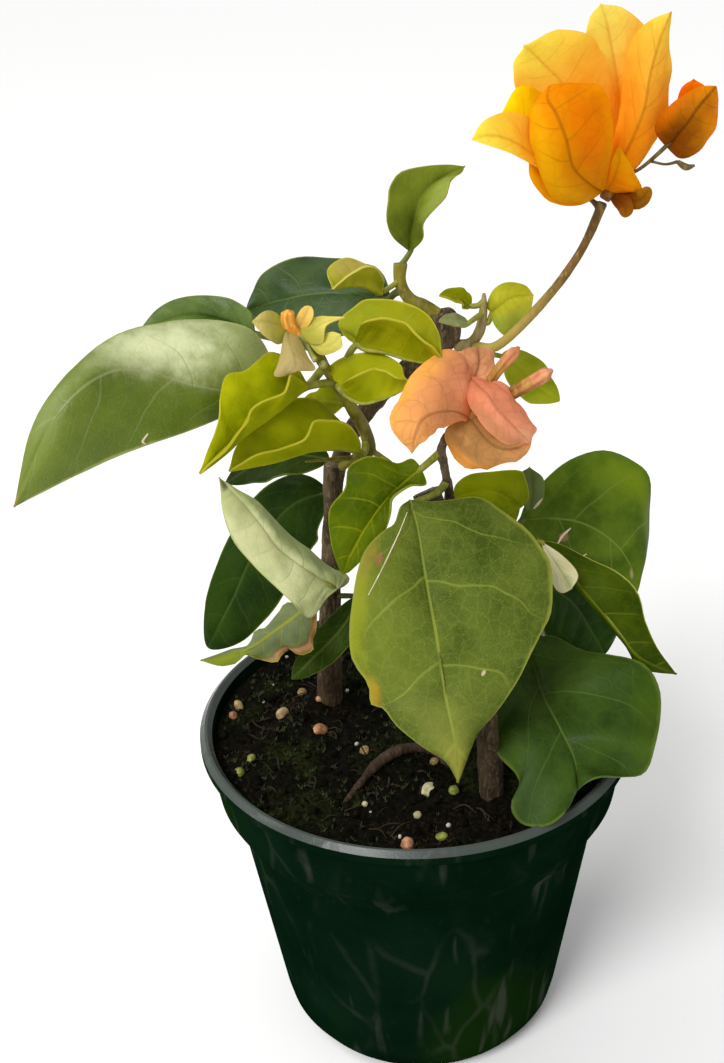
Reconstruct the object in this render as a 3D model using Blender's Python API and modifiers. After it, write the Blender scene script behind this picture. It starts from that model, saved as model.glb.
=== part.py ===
# Potted bougainvillea: a green nursery pot filled with peat, two pruned woody trunks, green
# shoots, waved ovate leaves, a golden flower head on a long stem and a spent pink one.
# The origin is at the middle of the pot's base, +Z up, and the viewer stands towards -Y.

import math

import bmesh
import bpy
from mathutils import Matrix, Vector

MM = 0.001                # sizes below are in millimetres
CLEARANCE = 0.3           # gap between pieces that touch

# Pot
RIM_RADIUS = 57.0
POT_HEIGHT = 93.0
RIM_DEPTH = 4.2
RIM_WIDTH = 3.2
COLLAR_BOTTOM = 75.0
COLLAR_FOOT_RADIUS = 53.1
SHOULDER_BOTTOM = 66.5
SHOULDER_RADIUS = 48.1
FOOT_RADIUS = 39.1
FOOT_HEIGHT = 9.0
BASE_RADIUS = 33.2
WALL = 1.5
POT_STEPS = 40
DRAIN_SLOTS = 8
DRAIN_SLOT = (9.0, 12.0, 4.0)

# Soil
SOIL_LEVEL = 89.5
SOIL_CROWN = 1.6
SOIL_RINGS = 7

# Leaves and bracts
BLADE_THICKNESS = 0.8
BRACT_THICKNESS = 0.7
STALK_RADIUS = 0.85

GREEN = (0.052, 0.125, 0.022)
DARK_GREEN = (0.022, 0.065, 0.026)
FRESH_GREEN = (0.200, 0.270, 0.018)
PALE_GREEN = (0.180, 0.250, 0.120)
GOLD = (0.900, 0.370, 0.020)
DEEP_GOLD = (0.800, 0.230, 0.015)
SALMON = (0.800, 0.330, 0.160)
BARK = (0.120, 0.090, 0.070)
SHOOT_GREEN = (0.130, 0.130, 0.040)
PEAT = (0.018, 0.014, 0.010)
POT_GREEN = (0.008, 0.028, 0.018)


def clear_scene():
    for obj in list(bpy.data.objects):
        bpy.data.objects.remove(obj, do_unlink=True)


def make_collection(name):
    collection = bpy.data.collections.new(name)
    bpy.context.scene.collection.children.link(collection)
    return collection


def make_material(name, colour, roughness, metallic=0.0):
    material = bpy.data.materials.new(name)
    material.use_nodes = True
    shader = material.node_tree.nodes["Principled BSDF"]
    shader.inputs["Base Color"].default_value = (*colour, 1.0)
    shader.inputs["Roughness"].default_value = roughness
    shader.inputs["Metallic"].default_value = metallic
    material.diffuse_color = (*colour, 1.0)
    return material


def add_object(name, data, collection, material=None):
    obj = bpy.data.objects.new(name, data)
    collection.objects.link(obj)
    if material:
        data.materials.append(material)
    return obj


def evaluated_mesh(obj):
    """The object's mesh with its modifiers applied, and its curve caps welded."""
    bpy.context.view_layer.update()
    graph = bpy.context.evaluated_depsgraph_get()
    mesh = bpy.data.meshes.new_from_object(obj.evaluated_get(graph))
    bm = bmesh.new()
    bm.from_mesh(mesh)
    bmesh.ops.remove_doubles(bm, verts=bm.verts, dist=0.005 * MM)
    bm.to_mesh(mesh)
    bm.free()
    return mesh


def bake(obj, collection, material=None):
    """Replaces the object by a plain mesh object of the same name and place."""
    mesh = evaluated_mesh(obj)
    mesh.materials.clear()
    name = obj.name
    matrix = obj.matrix_world.copy()
    bpy.data.objects.remove(obj, do_unlink=True)
    baked = add_object(name, mesh, collection, material)
    baked.matrix_world = matrix
    return baked


def smooth_point(points, share):
    """A point of the smooth curve through the given points, at a share 0 to 1 of the way."""
    last = len(points) - 1
    place = min(max(share, 0.0), 1.0) * last
    index = min(int(place), last - 1)
    u = place - index
    p1, p2 = Vector(points[index]), Vector(points[index + 1])
    p0 = Vector(points[index - 1]) if index > 0 else 2 * p1 - p2
    p3 = Vector(points[index + 2]) if index + 2 <= last else 2 * p2 - p1
    return 0.5 * (
        2 * p1
        + (p2 - p0) * u
        + (2 * p0 - 5 * p1 + 4 * p2 - p3) * u ** 2
        + (3 * p1 - p0 - 3 * p2 + p3) * u ** 3
    )


def smooth_number(numbers, share):
    place = min(max(share, 0.0), 1.0) * (len(numbers) - 1)
    index = min(int(place), len(numbers) - 2)
    u = place - index
    return numbers[index] * (1 - u) + numbers[index + 1] * u


def tube(name, points, radii, collection, spans=4, resolution=1, grow=0.0):
    """A round stem through the points, as a mesh object. Grow makes it that much fatter."""
    curve = bpy.data.curves.new(name, "CURVE")
    curve.dimensions = "3D"
    curve.fill_mode = "FULL"
    curve.bevel_depth = MM
    curve.bevel_resolution = resolution
    curve.use_fill_caps = True
    count = spans * (len(points) - 1) + 1
    spline = curve.splines.new("POLY")
    spline.points.add(count - 1)
    for index, point in enumerate(spline.points):
        share = index / (count - 1)
        point.co = (*(smooth_point(points, share) * MM), 1.0)
        point.radius = smooth_number(radii, share) + grow
    return bake(add_object(name, curve, collection), collection)


def join_all(name, pieces, collection, material):
    """One body from pieces that cross each other."""
    first = pieces[0]
    if len(pieces) > 1:
        others = make_collection(name + "_repeats")
        for piece in pieces[1:]:
            for owner in list(piece.users_collection):
                owner.objects.unlink(piece)
            others.objects.link(piece)
        union = first.modifiers.new("join", "BOOLEAN")
        union.operation = "UNION"
        union.operand_type = "COLLECTION"
        union.collection = others
        union.solver = "MANIFOLD"
        first = bake(first, collection)
        for piece in list(others.objects):
            bpy.data.objects.remove(piece, do_unlink=True)
        bpy.data.collections.remove(others)
    first.name = name
    first.data.name = name
    first.data.materials.clear()
    first.data.materials.append(material)
    first.data.shade_smooth()
    first.data.set_sharp_from_angle(angle=math.radians(40))
    return first


def cut_by(obj, cutter, collection, material):
    """Cuts one object by another and keeps the first."""
    cut = obj.modifiers.new("cut", "BOOLEAN")
    cut.operation = "DIFFERENCE"
    cut.object = cutter
    cut.solver = "EXACT"
    return bake(obj, collection, material)


def keep_largest(obj):
    """Drops the loose scraps that a cut leaves."""
    bm = bmesh.new()
    bm.from_mesh(obj.data)
    groups = []
    seen = set()
    for vert in bm.verts:
        if vert in seen:
            continue
        group, stack = [], [vert]
        seen.add(vert)
        while stack:
            here = stack.pop()
            group.append(here)
            for edge in here.link_edges:
                there = edge.other_vert(here)
                if there not in seen:
                    seen.add(there)
                    stack.append(there)
        groups.append(group)
    groups.sort(key=len)
    for group in groups[:-1]:
        bmesh.ops.delete(bm, geom=group, context="VERTS")
    bm.to_mesh(obj.data)
    bm.free()


# Blade form

def half_arc(width, reach, fold, curl):
    """Sideways and upward distance from the midrib, across a half blade bent as an arc."""
    if abs(curl) < 0.001:
        return width * reach * math.cos(fold), width * reach * math.sin(fold)
    end = fold + curl * reach
    side = width * (math.sin(end) - math.sin(fold)) / curl
    rise = width * (math.cos(fold) - math.cos(end)) / curl
    return side, rise


def blade_width(share, blunt, draw):
    """Half width at a share of the length, as a share of the widest. Blunt rounds the base,
    draw draws out the tip."""
    widest = blunt / (blunt + draw)
    top = widest ** blunt * (1 - widest) ** draw
    return share ** blunt * (1 - share) ** draw / top


def side_width(form, share, left):
    """Half width on one side of the midrib, from nine widths along it or from one formula."""
    widths = form.get("left_widths" if left else "right_widths")
    if widths is None:
        width = blade_width(share, form.get("blunt", 0.6), form.get("draw", 0.8))
        return form["half_width"] * width * form.get("left_share" if left else "right_share", 1.0)
    first = 1.0 / (len(widths) - 1)
    if share < first:
        return widths[0] + (widths[1] - widths[0]) * math.sqrt(share / first)
    return smooth_number(widths, share)


def blade_point(form, share, across):
    """A point of the blade: share runs from base to tip, across from -1 left to +1 right."""
    rib = form["rib"]
    here = smooth_point(rib, share)
    along = smooth_point(rib, min(share + 0.02, 1)) - smooth_point(rib, max(share - 0.02, 0))
    along.normalize()
    side = along.cross(Vector(form["face"])).normalized()
    turn = math.radians(smooth_number(form.get("twist", (0, 0)), share))
    side = Matrix.Rotation(turn, 3, along) @ side
    up = side.cross(along)
    left = across < 0
    folds = form.get("fold_left" if left else "fold_right", (0, 0))
    fold = math.radians(smooth_number(folds, share))
    curl = math.radians(form.get("curl_left" if left else "curl_right", -15))
    width = side_width(form, share, left)
    sideways, rise = half_arc(width, abs(across), fold, curl)
    waves, height, phase = form.get("wave", (0, 0, 0))
    phase = math.radians(phase + (150 if left else 0))
    ripple = height * across ** 2 * math.sin(2 * math.pi * waves * share + phase)
    rise += ripple * min(1.0, width / 6)
    return here + side * (-sideways if left else sideways) + up * rise


def blade(name, form, collection, thickness=BLADE_THICKNESS):
    """A thin waved blade, split into triangles alike on both faces."""
    columns, rows = form.get("grid", (6, 8))
    bm = bmesh.new()
    bmesh.ops.create_grid(bm, x_segments=columns, y_segments=rows, size=1.0)
    for vert in bm.verts:
        share = 0.5 - 0.5 * math.cos(math.pi * (vert.co.y + 1) / 2)
        vert.co = blade_point(form, share, vert.co.x) * MM
    bmesh.ops.remove_doubles(bm, verts=bm.verts, dist=0.02 * MM)
    bmesh.ops.triangulate(bm, faces=bm.faces)
    mesh = bpy.data.meshes.new(name)
    bm.to_mesh(mesh)
    bm.free()
    obj = add_object(name, mesh, collection)
    wall = obj.modifiers.new("thickness", "SOLIDIFY")
    wall.thickness = thickness * MM
    wall.offset = 0.0
    return bake(obj, collection)


# Stems: centre line, and the radius at each of its points

STEMS = {
    "trunk_left": {
        "points": [(-22.7, 11.5, 46), (-22.6, 11.3, 88), (-21.8, 10.8, 108), (-20.8, 10, 129),
                   (-19.5, 8, 147), (-18.3, 6.3, 164)],
        "radii": [3.6, 3.6, 3.1, 2.7, 2.3, 2.5],
        "resolution": 2, "fused": ["trunk_left_bend"],
    },
    "trunk_left_bend": {
        "points": [(-18.8, 7, 157), (-16, 9, 166), (-11, 11, 174), (-4, 11, 182),
                   (4, 9.5, 189.5), (9.3, 8, 195.5), (8.8, 8, 201.5)],
        "radii": [2.2, 2.2, 2.3, 2.6, 3.1, 3.8, 3.3],
        "resolution": 2,
    },
    "trunk_right": {
        "points": [(17.5, -33, 46), (17.5, -32, 88), (16.5, -24, 108), (14.5, -16, 124),
                   (10.5, -8, 142), (4, -1, 159)],
        "radii": [3.2, 3.2, 3.0, 2.9, 3.0, 3.6],
        "resolution": 2, "fused": ["branch_right", "branch_low"],
    },
    "branch_right": {
        "points": [(7.5, -2.5, 150), (9, -5, 156), (9.3, -8, 161), (8, -12, 170),
                   (7, -16, 177), (9, -20, 183), (13, -22, 187)],
        "radii": [1.6, 1.35, 1.2, 1.15, 1.1, 1.0, 1.0],
        "spans": 2,
    },
    "branch_low": {
        "points": [(12, -7, 135), (17, -3, 138), (23, 1, 140), (28, 4, 141)],
        "radii": [1.8, 1.5, 1.2, 1.0],
        "spans": 2,
    },
    "shoot_left": {
        "points": [(-16.5, 5, 163.5), (-13, 2.5, 167), (-9.5, 0.5, 170), (-10.5, -1, 176),
                   (-12.9, -4, 182.4), (-16, -6, 189), (-19, -8, 195.2), (-22, -9, 200.5)],
        "radii": [1.2, 1.2, 1.7, 1.6, 1.5, 1.4, 1.2, 0.9],
        "spans": 2,
    },
    "shoot_top": {
        "points": [(8, 8, 200.5), (5, 8.5, 202.5), (1.4, 9.5, 204.5), (-0.6, 11, 208),
                   (-0.4, 12, 212.5)],
        "radii": [1.9, 1.8, 1.6, 1.5, 1.6],
        "spans": 2,
    },
    "shoot_right": {
        "points": [(12, 7.5, 193), (15.5, 6, 194), (17.6, 5, 197.5), (18.4, 4, 203),
                   (18.5, 4, 207)],
        "radii": [1.5, 1.4, 1.25, 1.0, 0.5],
        "spans": 2,
    },
    "flower_stem": {
        "points": [(16.4, 4.5, 193.6), (21.9, 0, 195.8), (31.9, -2, 206.8), (39.6, -2, 217.7),
                   (44.3, -2, 228.8)],
        "radii": [1.3, 1.15, 1.1, 1.0, 1.15],
        "spans": 3,
    },
}


def stem(name, collection, grow=0.0):
    spec = STEMS[name]
    label = name + ("_clearance" if grow else "")
    return tube(label, spec["points"], spec["radii"], collection,
                spans=spec.get("spans", 3), resolution=spec.get("resolution", 1), grow=grow)


# Leaves: where the stalk leaves its stem, the midrib from base to tip, which way the upper side
# faces, the half widths (or one half width), and how far each half folds up from flat, in degrees

LEAVES = {
    "leaf_left_large": {
        "stem": "shoot_left", "stalk": [(-19, -8, 195), (-25, -4, 188)],
        "rib": [(-31.5, -2, 181.5), (-44.5, -6, 189.5), (-58.5, -13, 197), (-69, -20, 201),
                (-80, -27, 191.5), (-88.5, -32, 174)],
        "face": (-0.15, -0.5, 0.85), "left_widths": [0, 6, 9, 15, 20, 22, 18, 11, 0],
        "right_widths": [0, 20, 20, 15, 11, 7, 5, 3, 0], "fold_left": (-15, -10),
        "fold_right": (20, -15), "curl_left": -20, "curl_right": -25, "wave": (1.5, 0.8, 0),
        "grid": (7, 10), "colour": "pale",
    },
    "leaf_left_behind": {
        "stem": "shoot_left", "stalk": [(-18, -7.3, 193), (-22, 4, 195)],
        "rib": [(-29, 17, 194), (-46, 27, 191.5), (-60, 34, 188.5), (-69, 32, 184.5)],
        "face": (0, -0.45, 0.9), "half_width": 9.5, "blunt": 0.7, "fold_left": (-10, -10),
        "curl_left": -20, "curl_right": -15, "grid": (4, 6), "colour": "dark",
    },
    "leaf_top_dark": {
        "stem": "shoot_top", "stalk": [(0, 10.4, 206.5), (-2, 12, 205)],
        "rib": [(-4.5, 13, 204), (-14, 19, 203), (-26, 27, 199.5), (-40, 33, 192)],
        "face": (-0.1, -0.5, 0.86), "half_width": 15, "draw": 0.5, "fold_right": (5, -5),
        "curl_left": -25, "curl_right": -20, "wave": (1.5, 0.6, 0), "grid": (5, 8),
        "colour": "dark",
    },
    "leaf_top_small": {
        "stem": "shoot_top", "stalk": [(-0.5, 11.3, 209.5), (-2, 10, 208)],
        "rib": [(-5, 8, 206.5), (-9.5, 7, 209), (-13.5, 5, 210.5), (-17, 3, 210)],
        "face": (0, -0.3, 0.95), "half_width": 6.3, "draw": 0.6, "fold_left": (70, 55),
        "fold_right": (50, 45), "curl_left": -15, "curl_right": -15, "grid": (4, 6),
        "colour": "fresh",
    },
    "leaf_centre_upper": {
        "stem": "shoot_left", "stalk": [(-15.6, -5.7, 188.3), (-14.3, -6.5, 195)],
        "rib": [(-12, -8, 201), (-8, -11, 200.5), (-3, -15, 199.5), (2.5, -19.5, 200),
                (8, -24.5, 203.5)],
        "face": (0, -0.3, 0.95), "half_width": 11.5, "blunt": 0.5, "draw": 0.7,
        "fold_left": (65, 50), "fold_right": (70, 60), "curl_left": -15, "curl_right": -15,
        "wave": (2, 0.7, 0), "grid": (6, 8), "colour": "fresh",
    },
    "leaf_centre_lower": {
        "stem": "shoot_left", "stalk": [(-14.6, -5, 186.3), (-15.8, -9, 190.5)],
        "rib": [(-15.5, -11.5, 191.5), (-12.5, -14.5, 188.5), (-8, -18, 188.5),
                (-2.5, -21.5, 190.5), (1, -25, 194)],
        "face": (0, -0.3, 0.95), "half_width": 9, "blunt": 0.5, "draw": 0.7,
        "fold_left": (60, 50), "fold_right": (70, 60), "curl_left": -15, "curl_right": -15,
        "wave": (1.5, 0.6, 40), "grid": (4, 8), "colour": "fresh",
    },
    "leaf_left_folded": {
        "stem": "shoot_left", "stalk": [(-16.6, -6.3, 190.5), (-20.5, -9.5, 191.5)],
        "rib": [(-24.5, -13, 191), (-28.5, -17, 190), (-33.5, -21, 187), (-39.5, -26, 184),
                (-47.5, -32, 180)],
        "face": (0, -0.35, 0.93), "half_width": 10.5, "blunt": 0.5, "draw": 0.75,
        "fold_left": (52, 38), "fold_right": (45, 45), "curl_left": -10, "curl_right": -20,
        "wave": (2, 1.0, 0), "grid": (6, 8), "colour": "fresh",
    },
    "leaf_left_low": {
        "stem": "shoot_left", "stalk": [(-10.1, -0.4, 173), (-10.8, -4, 171)],
        "rib": [(-11.5, -6, 170.5), (-16.5, -10, 173.5), (-24.5, -16, 177), (-33, -22, 180),
                (-41, -27, 177.5)],
        "face": (0, -0.35, 0.93), "half_width": 9.5, "blunt": 0.5, "draw": 0.75,
        "fold_left": (72, 15), "fold_right": (45, 40), "curl_left": -10, "curl_right": -25,
        "wave": (1.5, 0.7, 0), "grid": (6, 8), "colour": "fresh",
    },
    "leaf_fill": {
        "stem": "shoot_left", "stalk": [(-12.9, -4, 182.4), (-13.8, -2, 182.5)],
        "rib": [(-15, 0, 182.5), (-20.5, 3, 182), (-26, 5, 180)],
        "face": (-0.1, -0.5, 0.85), "half_width": 4.5, "grid": (4, 5), "colour": "fresh",
    },
    "leaf_centre_green": {
        "stem": "branch_right", "stalk": [(7, -15.5, 176), (5, -13, 173)],
        "rib": [(2.5, -11, 169.5), (-2.5, -12, 165.5), (-9, -14, 160), (-14, -16, 153),
                (-16.5, -16, 145)],
        "face": (-0.1, -0.85, 0.5), "half_width": 10.5, "blunt": 0.5, "draw": 0.65,
        "fold_left": (5, 15), "fold_right": (0, -10), "curl_left": -20, "curl_right": -20,
        "wave": (1.5, 1.0, 0), "grid": (6, 8), "colour": "fresh",
    },
    "leaf_front_large": {
        "stem": "branch_right", "stalk": [(8.6, -10, 166), (4.5, -14.5, 167)],
        "rib": [(0.5, -16, 165), (1.5, -20, 158.5), (3.5, -27, 149), (5, -36, 134),
                (6, -42, 121.5), (8, -47, 105)],
        "face": (0, -0.885, 0.466), "left_widths": [11, 24, 29.5, 32, 30, 25, 17, 9, 0],
        "right_widths": [2, 10, 15, 19, 20.5, 20.5, 18, 7.5, 0], "fold_left": (-10, 5),
        "fold_right": (20, -5), "curl_left": -20, "curl_right": -25, "wave": (2, 0.8, 0),
        "grid": (8, 11), "colour": "green",
    },
    "leaf_right_large": {
        "stem": "branch_low", "stalk": [(26, 2.8, 140.6), (27, 6, 143)],
        "rib": [(29.5, 9, 145), (38.5, 12, 144.5), (50, 16, 138.5), (57, 17, 128.5),
                (60.5, 14, 117.5)],
        "face": (0.15, -0.8, 0.6), "left_widths": [0, 9, 13.5, 16, 17, 15.5, 10, 5, 0],
        "right_widths": [0, 6, 8, 8, 7, 6, 5, 3, 0], "fold_left": (5, 5),
        "curl_left": -20, "curl_right": -20, "wave": (1.5, 1.0, 0), "grid": (6, 9),
        "colour": "dark",
    },
    "leaf_right_folded": {
        "stem": "branch_low", "stalk": [(28, 4, 141), (30, 3, 142)],
        "rib": [(32, 2, 142.5), (41, -3, 137.5), (49.5, -8, 130.5), (57, -13, 121),
                (65.5, -16, 114)],
        "face": (0.5, -0.45, 0.75), "half_width": 7, "blunt": 0.5, "draw": 0.75, "left_share": 0.8,
        "fold_left": (15, 15), "fold_right": (-30, -30), "curl_left": -20, "curl_right": -20,
        "wave": (1.5, 0.6, 0), "grid": (6, 8), "colour": "green",
    },
    "leaf_right_pale": {
        "stem": "branch_low", "stalk": [(23, 1, 140), (28, -2, 143)],
        "rib": [(31, -6, 144.5), (34.5, -9, 140), (38, -11, 135)],
        "face": (0.3, -0.85, 0.4), "half_width": 4, "draw": 0.5, "grid": (4, 5),
        "colour": "pale",
    },
    "leaf_right_shaded": {
        "stem": "branch_low", "stalk": [(20, -1, 139), (27, 6, 131)],
        "rib": [(34, 11, 125), (43.5, 16, 115.5), (50.5, 19, 102.5), (53.5, 20, 96)],
        "face": (0.3, -0.85, 0.4), "half_width": 12, "draw": 0.6, "grid": (4, 7),
        "colour": "dark",
    },
    "leaf_right_lower": {
        "stem": "trunk_right", "stalk": [(15.3, -19, 118), (22, -8, 117)],
        "rib": [(29, -4, 114), (32.5, -16, 107.5), (35.5, -27, 103.5), (35.5, -38, 100),
                (30.5, -49, 97)],
        "face": (0.15, -0.5, 0.85), "left_widths": [0, 13, 21, 26, 26, 21, 12, 2.5, 1],
        "right_widths": [0, 6, 10, 14, 17.5, 17, 16, 14, 5], "fold_left": (30, 10),
        "fold_right": (5, 0), "curl_left": -20, "curl_right": -20, "wave": (1.5, 1.0, 0),
        "grid": (7, 10), "colour": "dark",
    },
    "leaf_left_pale": {
        "stem": "trunk_left", "stalk": [(-20.6, 9.8, 132), (-16.5, 2, 133.5)],
        "rib": [(-17, -8, 130.5), (-23.5, -9, 138), (-29.5, -11, 147), (-35.5, -13, 157),
                (-40, -14, 163), (-44.5, -15, 170)],
        "face": (-0.2, -0.9, 0.45), "half_width": 9, "blunt": 0.5, "draw": 0.7,
        "right_share": 0.6, "fold_right": (30, 30), "curl_left": -20, "curl_right": -20,
        "wave": (1.5, 0.8, 0), "grid": (6, 8), "colour": "pale",
    },
    "leaf_left_yellow": {
        "stem": "trunk_left", "stalk": [(-21.2, 10.4, 122), (-26, 4, 126.5)],
        "rib": [(-24, -8, 129), (-31, -12, 127), (-40.5, -16, 124), (-51.5, -20, 122.5)],
        "face": (-0.1, -0.5, 0.85), "half_width": 6.5, "blunt": 0.5, "draw": 0.7,
        "fold_left": (20, -40), "curl_left": -25, "curl_right": -25, "wave": (2, 0.9, 0),
        "grid": (6, 8), "colour": "fresh",
    },
    "leaf_left_dark": {
        "stem": "trunk_left", "stalk": [(-19.4, 7.8, 148.5), (-19, 13, 151)],
        "rib": [(-20.5, 17, 151), (-30, 20, 146), (-40, 24, 132.5), (-48.5, 27, 114),
                (-56.5, 28, 98.5)],
        "face": (-0.3, -0.8, 0.5), "half_width": 10, "draw": 0.6, "left_share": 1.3, "curl_left": -20,
        "curl_right": -20, "wave": (1.5, 0.8, 0), "grid": (4, 8), "colour": "dark",
    },
    "leaf_left_sliver": {
        "stem": "trunk_left", "stalk": [(-18.7, 6.8, 160), (-18.5, 9, 163)],
        "rib": [(-19.5, 10, 163.5), (-28, 12, 164), (-38.5, 14, 160.5), (-46, 13, 156.5)],
        "face": (0, -0.4, 0.9), "half_width": 6, "grid": (4, 6), "colour": "dark",
    },
    "leaf_trunk_dark": {
        "stem": "trunk_left", "stalk": [(-21.1, 10.3, 124), (-14, 6, 126)],
        "rib": [(-13, 2, 128), (-18.5, -1, 120.5), (-26, -5, 114.5), (-31.5, -8, 110.5)],
        "face": (-0.2, -0.8, 0.5), "half_width": 4.5, "draw": 0.8, "grid": (4, 6),
        "colour": "dark",
    },
    "leaf_middle_fresh": {
        "stem": "branch_low", "stalk": [(20, -1, 139), (25, 2, 146)],
        "rib": [(27, 3, 151), (21.5, 2, 155), (16.5, 1, 158), (12, 0, 159)],
        "face": (-0.1, -0.9, 0.3), "half_width": 6, "draw": 0.8, "curl_left": -20,
        "grid": (4, 6), "colour": "fresh",
    },
    "leaf_middle_shaded": {
        "stem": "branch_low", "stalk": [(23, 1, 140), (26, 9, 141)],
        "rib": [(26, 12, 146.5), (27, 14, 152), (26.5, 14, 157)],
        "face": (0, -0.9, 0.3), "half_width": 3, "grid": (4, 5), "colour": "green",
    },
    "leaf_knob_back": {
        "stem": "shoot_right", "stalk": [(16, 5.8, 194.6), (20, 10, 190)],
        "rib": [(23.5, 10.5, 189), (29, 12, 184), (33, 11, 180), (37.5, 9, 177)],
        "face": (0.1, -0.7, 0.7), "half_width": 5.5, "grid": (4, 6), "colour": "fresh",
    },
    "leaf_knob_right": {
        "stem": "shoot_right", "stalk": [(18.1, 4.4, 200.5), (19.5, 4.5, 199.5)],
        "rib": [(20.5, 5, 200), (24.5, 4, 204), (30, 4, 206)],
        "face": (0.1, -0.9, 0.3), "half_width": 5.2, "draw": 0.7, "fold_left": (20, 20),
        "fold_right": (10, 10), "grid": (4, 6), "colour": "fresh",
    },
    "leaf_knob_left": {
        "stem": "shoot_right", "stalk": [(18.5, 4, 205), (17, 4, 204)],
        "rib": [(15.5, 4, 204), (12.5, 3, 206.5), (8, 1, 208)],
        "face": (-0.2, -0.5, 0.8), "half_width": 2.6, "fold_left": (20, 20),
        "fold_right": (20, 20), "grid": (4, 5), "colour": "fresh",
    },
    "leaf_knob_lower": {
        "stem": "shoot_right", "stalk": [(18.3, 4.2, 202), (16.5, 1.5, 202)],
        "rib": [(14.5, -1, 201.5), (11, -3, 203), (7.5, -5, 204)],
        "face": (-0.2, -0.6, 0.8), "half_width": 2, "fold_left": (20, 20),
        "fold_right": (20, 20), "grid": (4, 5), "colour": "pale",
    },
    "leaf_upright": {
        "stem": "shoot_top", "stalk": [(-0.4, 12, 211.8), (0.8, 12, 213.3)],
        "rib": [(2, 12, 215), (1.5, 11, 221), (5, 9, 227.5), (10, 8, 232.5), (14.5, 8, 236)],
        "face": (0, -0.95, 0.2), "half_width": 6.5, "draw": 0.8, "right_share": 0.65,
        "fold_right": (20, 20), "curl_left": -20, "grid": (6, 8), "colour": "green",
    },
}

# Golden flower head: bracts in layers, all rising from the end of the flower stem

GOLD_BRACTS = {
    "front": {
        "rib": [(44.5, -4, 232), (39, -10, 238), (34, -15, 245), (29.5, -16, 256)],
        "face": (-0.2, -0.9, 0.3), "left_widths": [0, 3, 5, 7, 8, 8, 7, 5, 0],
        "right_widths": [0, 5, 9, 11, 12, 12, 11, 8, 0], "curl_left": -40, "curl_right": -35,
        "grid": (6, 7),
    },
    "top_left": {
        "rib": [(45, -1.4, 231.2), (39, 0, 244.5), (33, 0, 255.5), (27, -2, 262.5)],
        "face": (0.1, -1, 0.2), "left_widths": [0, 3, 6, 8, 10, 11, 10.5, 7, 0],
        "right_widths": [0, 3, 6, 8, 10, 11, 10, 6, 0], "curl_left": 25, "curl_right": 10,
        "grid": (6, 7),
    },
    "back_left": {
        "rib": [(46, -1.5, 231), (47.5, 6, 247), (46.5, 7, 260), (43.5, 6, 270)],
        "face": (0, -1, 0.1), "left_widths": [0, 4, 6, 7, 7, 6.5, 5, 3, 0],
        "right_widths": [0, 4, 7, 9, 10, 10, 9.5, 7, 0], "curl_left": 15, "curl_right": 15,
        "grid": (5, 7),
    },
    "back_right": {
        "rib": [(46.4, -2, 231.2), (49.8, 2.5, 240.5), (53.5, 5, 248.5), (56, 6, 256),
                (58.5, 5, 267.5)],
        "face": (0, -1, 0.1), "left_widths": [0, 4, 6, 8, 8, 7, 6, 4, 0],
        "right_widths": [0, 4, 6, 6.5, 5.5, 4.5, 3.5, 2, 0], "curl_left": 20,
        "curl_right": 20, "grid": (5, 7),
    },
    "far_left": {
        "rib": [(44, -3, 232), (33.5, -8, 239.5), (23.5, -13, 246.5), (14, -16, 247)],
        "face": (-0.3, -0.8, 0.5), "half_width": 4.2, "blunt": 0.8, "draw": 0.6,
        "fold_left": (10, 10), "curl_left": 20, "curl_right": -20, "grid": (4, 7),
    },
    "mid_left": {
        "rib": [(44.5, -2, 231.5), (33.5, -7, 241.5), (27, -10, 248), (22.5, -10, 254)],
        "face": (-0.2, -0.9, 0.2), "half_width": 6, "blunt": 0.7, "draw": 0.4,
        "curl_left": -20, "curl_right": -20, "grid": (4, 6),
    },
    "low_left": {
        "rib": [(44, -4, 231.5), (37, -8, 233.5), (31, -11, 236.5), (26.5, -12, 240.5)],
        "face": (-0.2, -0.8, 0.2), "half_width": 4.5, "draw": 0.5, "curl_left": -20,
        "curl_right": -20, "grid": (4, 6),
    },
    "low_front": {
        "rib": [(46.4, -2.8, 231.2), (50, -6, 238), (46, -6, 245)],
        "face": (0.1, -1, 0.1), "half_width": 3.5, "fold_left": (-20, -20),
        "fold_right": (-20, -20), "curl_left": -20, "curl_right": -20, "grid": (4, 6),
    },
    "young_right": {
        "rib": [(46.2, -2.6, 230.6), (51, -6, 230), (53.5, -7, 233)],
        "face": (0, -0.9, 0.4), "half_width": 2, "draw": 0.5, "fold_left": (20, 20),
        "fold_right": (-20, -20), "grid": (4, 4),
    },
    "young_low": {
        "rib": [(45.8, -2.8, 230.4), (48, -7, 229.5), (48.5, -8, 227)],
        "face": (0, -0.9, 0.4), "half_width": 1.8, "draw": 0.5, "fold_left": (20, 20),
        "fold_right": (-20, -20), "grid": (4, 4),
    },
}

SIDE_BRACTS = {
    "near": {
        "rib": [(58.5, 0, 240.5), (61, -4, 245), (64, -5, 250), (67.5, -3, 252.5)],
        "face": (0.2, -0.95, 0.2), "left_widths": [0, 3.5, 5, 5.4, 5.4, 5.2, 4.5, 3, 0],
        "right_widths": [0, 4.5, 5.3, 5.4, 5.2, 5, 4.5, 3, 0], "curl_left": -40,
        "curl_right": -40, "grid": (6, 6),
    },
    "far": {
        "rib": [(58.3, 0.3, 239.8), (61.5, 4, 247.5), (63.5, 4, 254.5)],
        "face": (0, -1, 0.1), "half_width": 3.5, "draw": 0.5, "curl_left": 20,
        "curl_right": 20, "grid": (4, 6),
    },
}
SIDE_BRACT_STALK = [(47.5, 1.5, 233), (53, 2, 235), (58.5, 0.3, 240.5)]

# Spent pink flower head at the end of the right trunk's thin branch

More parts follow.
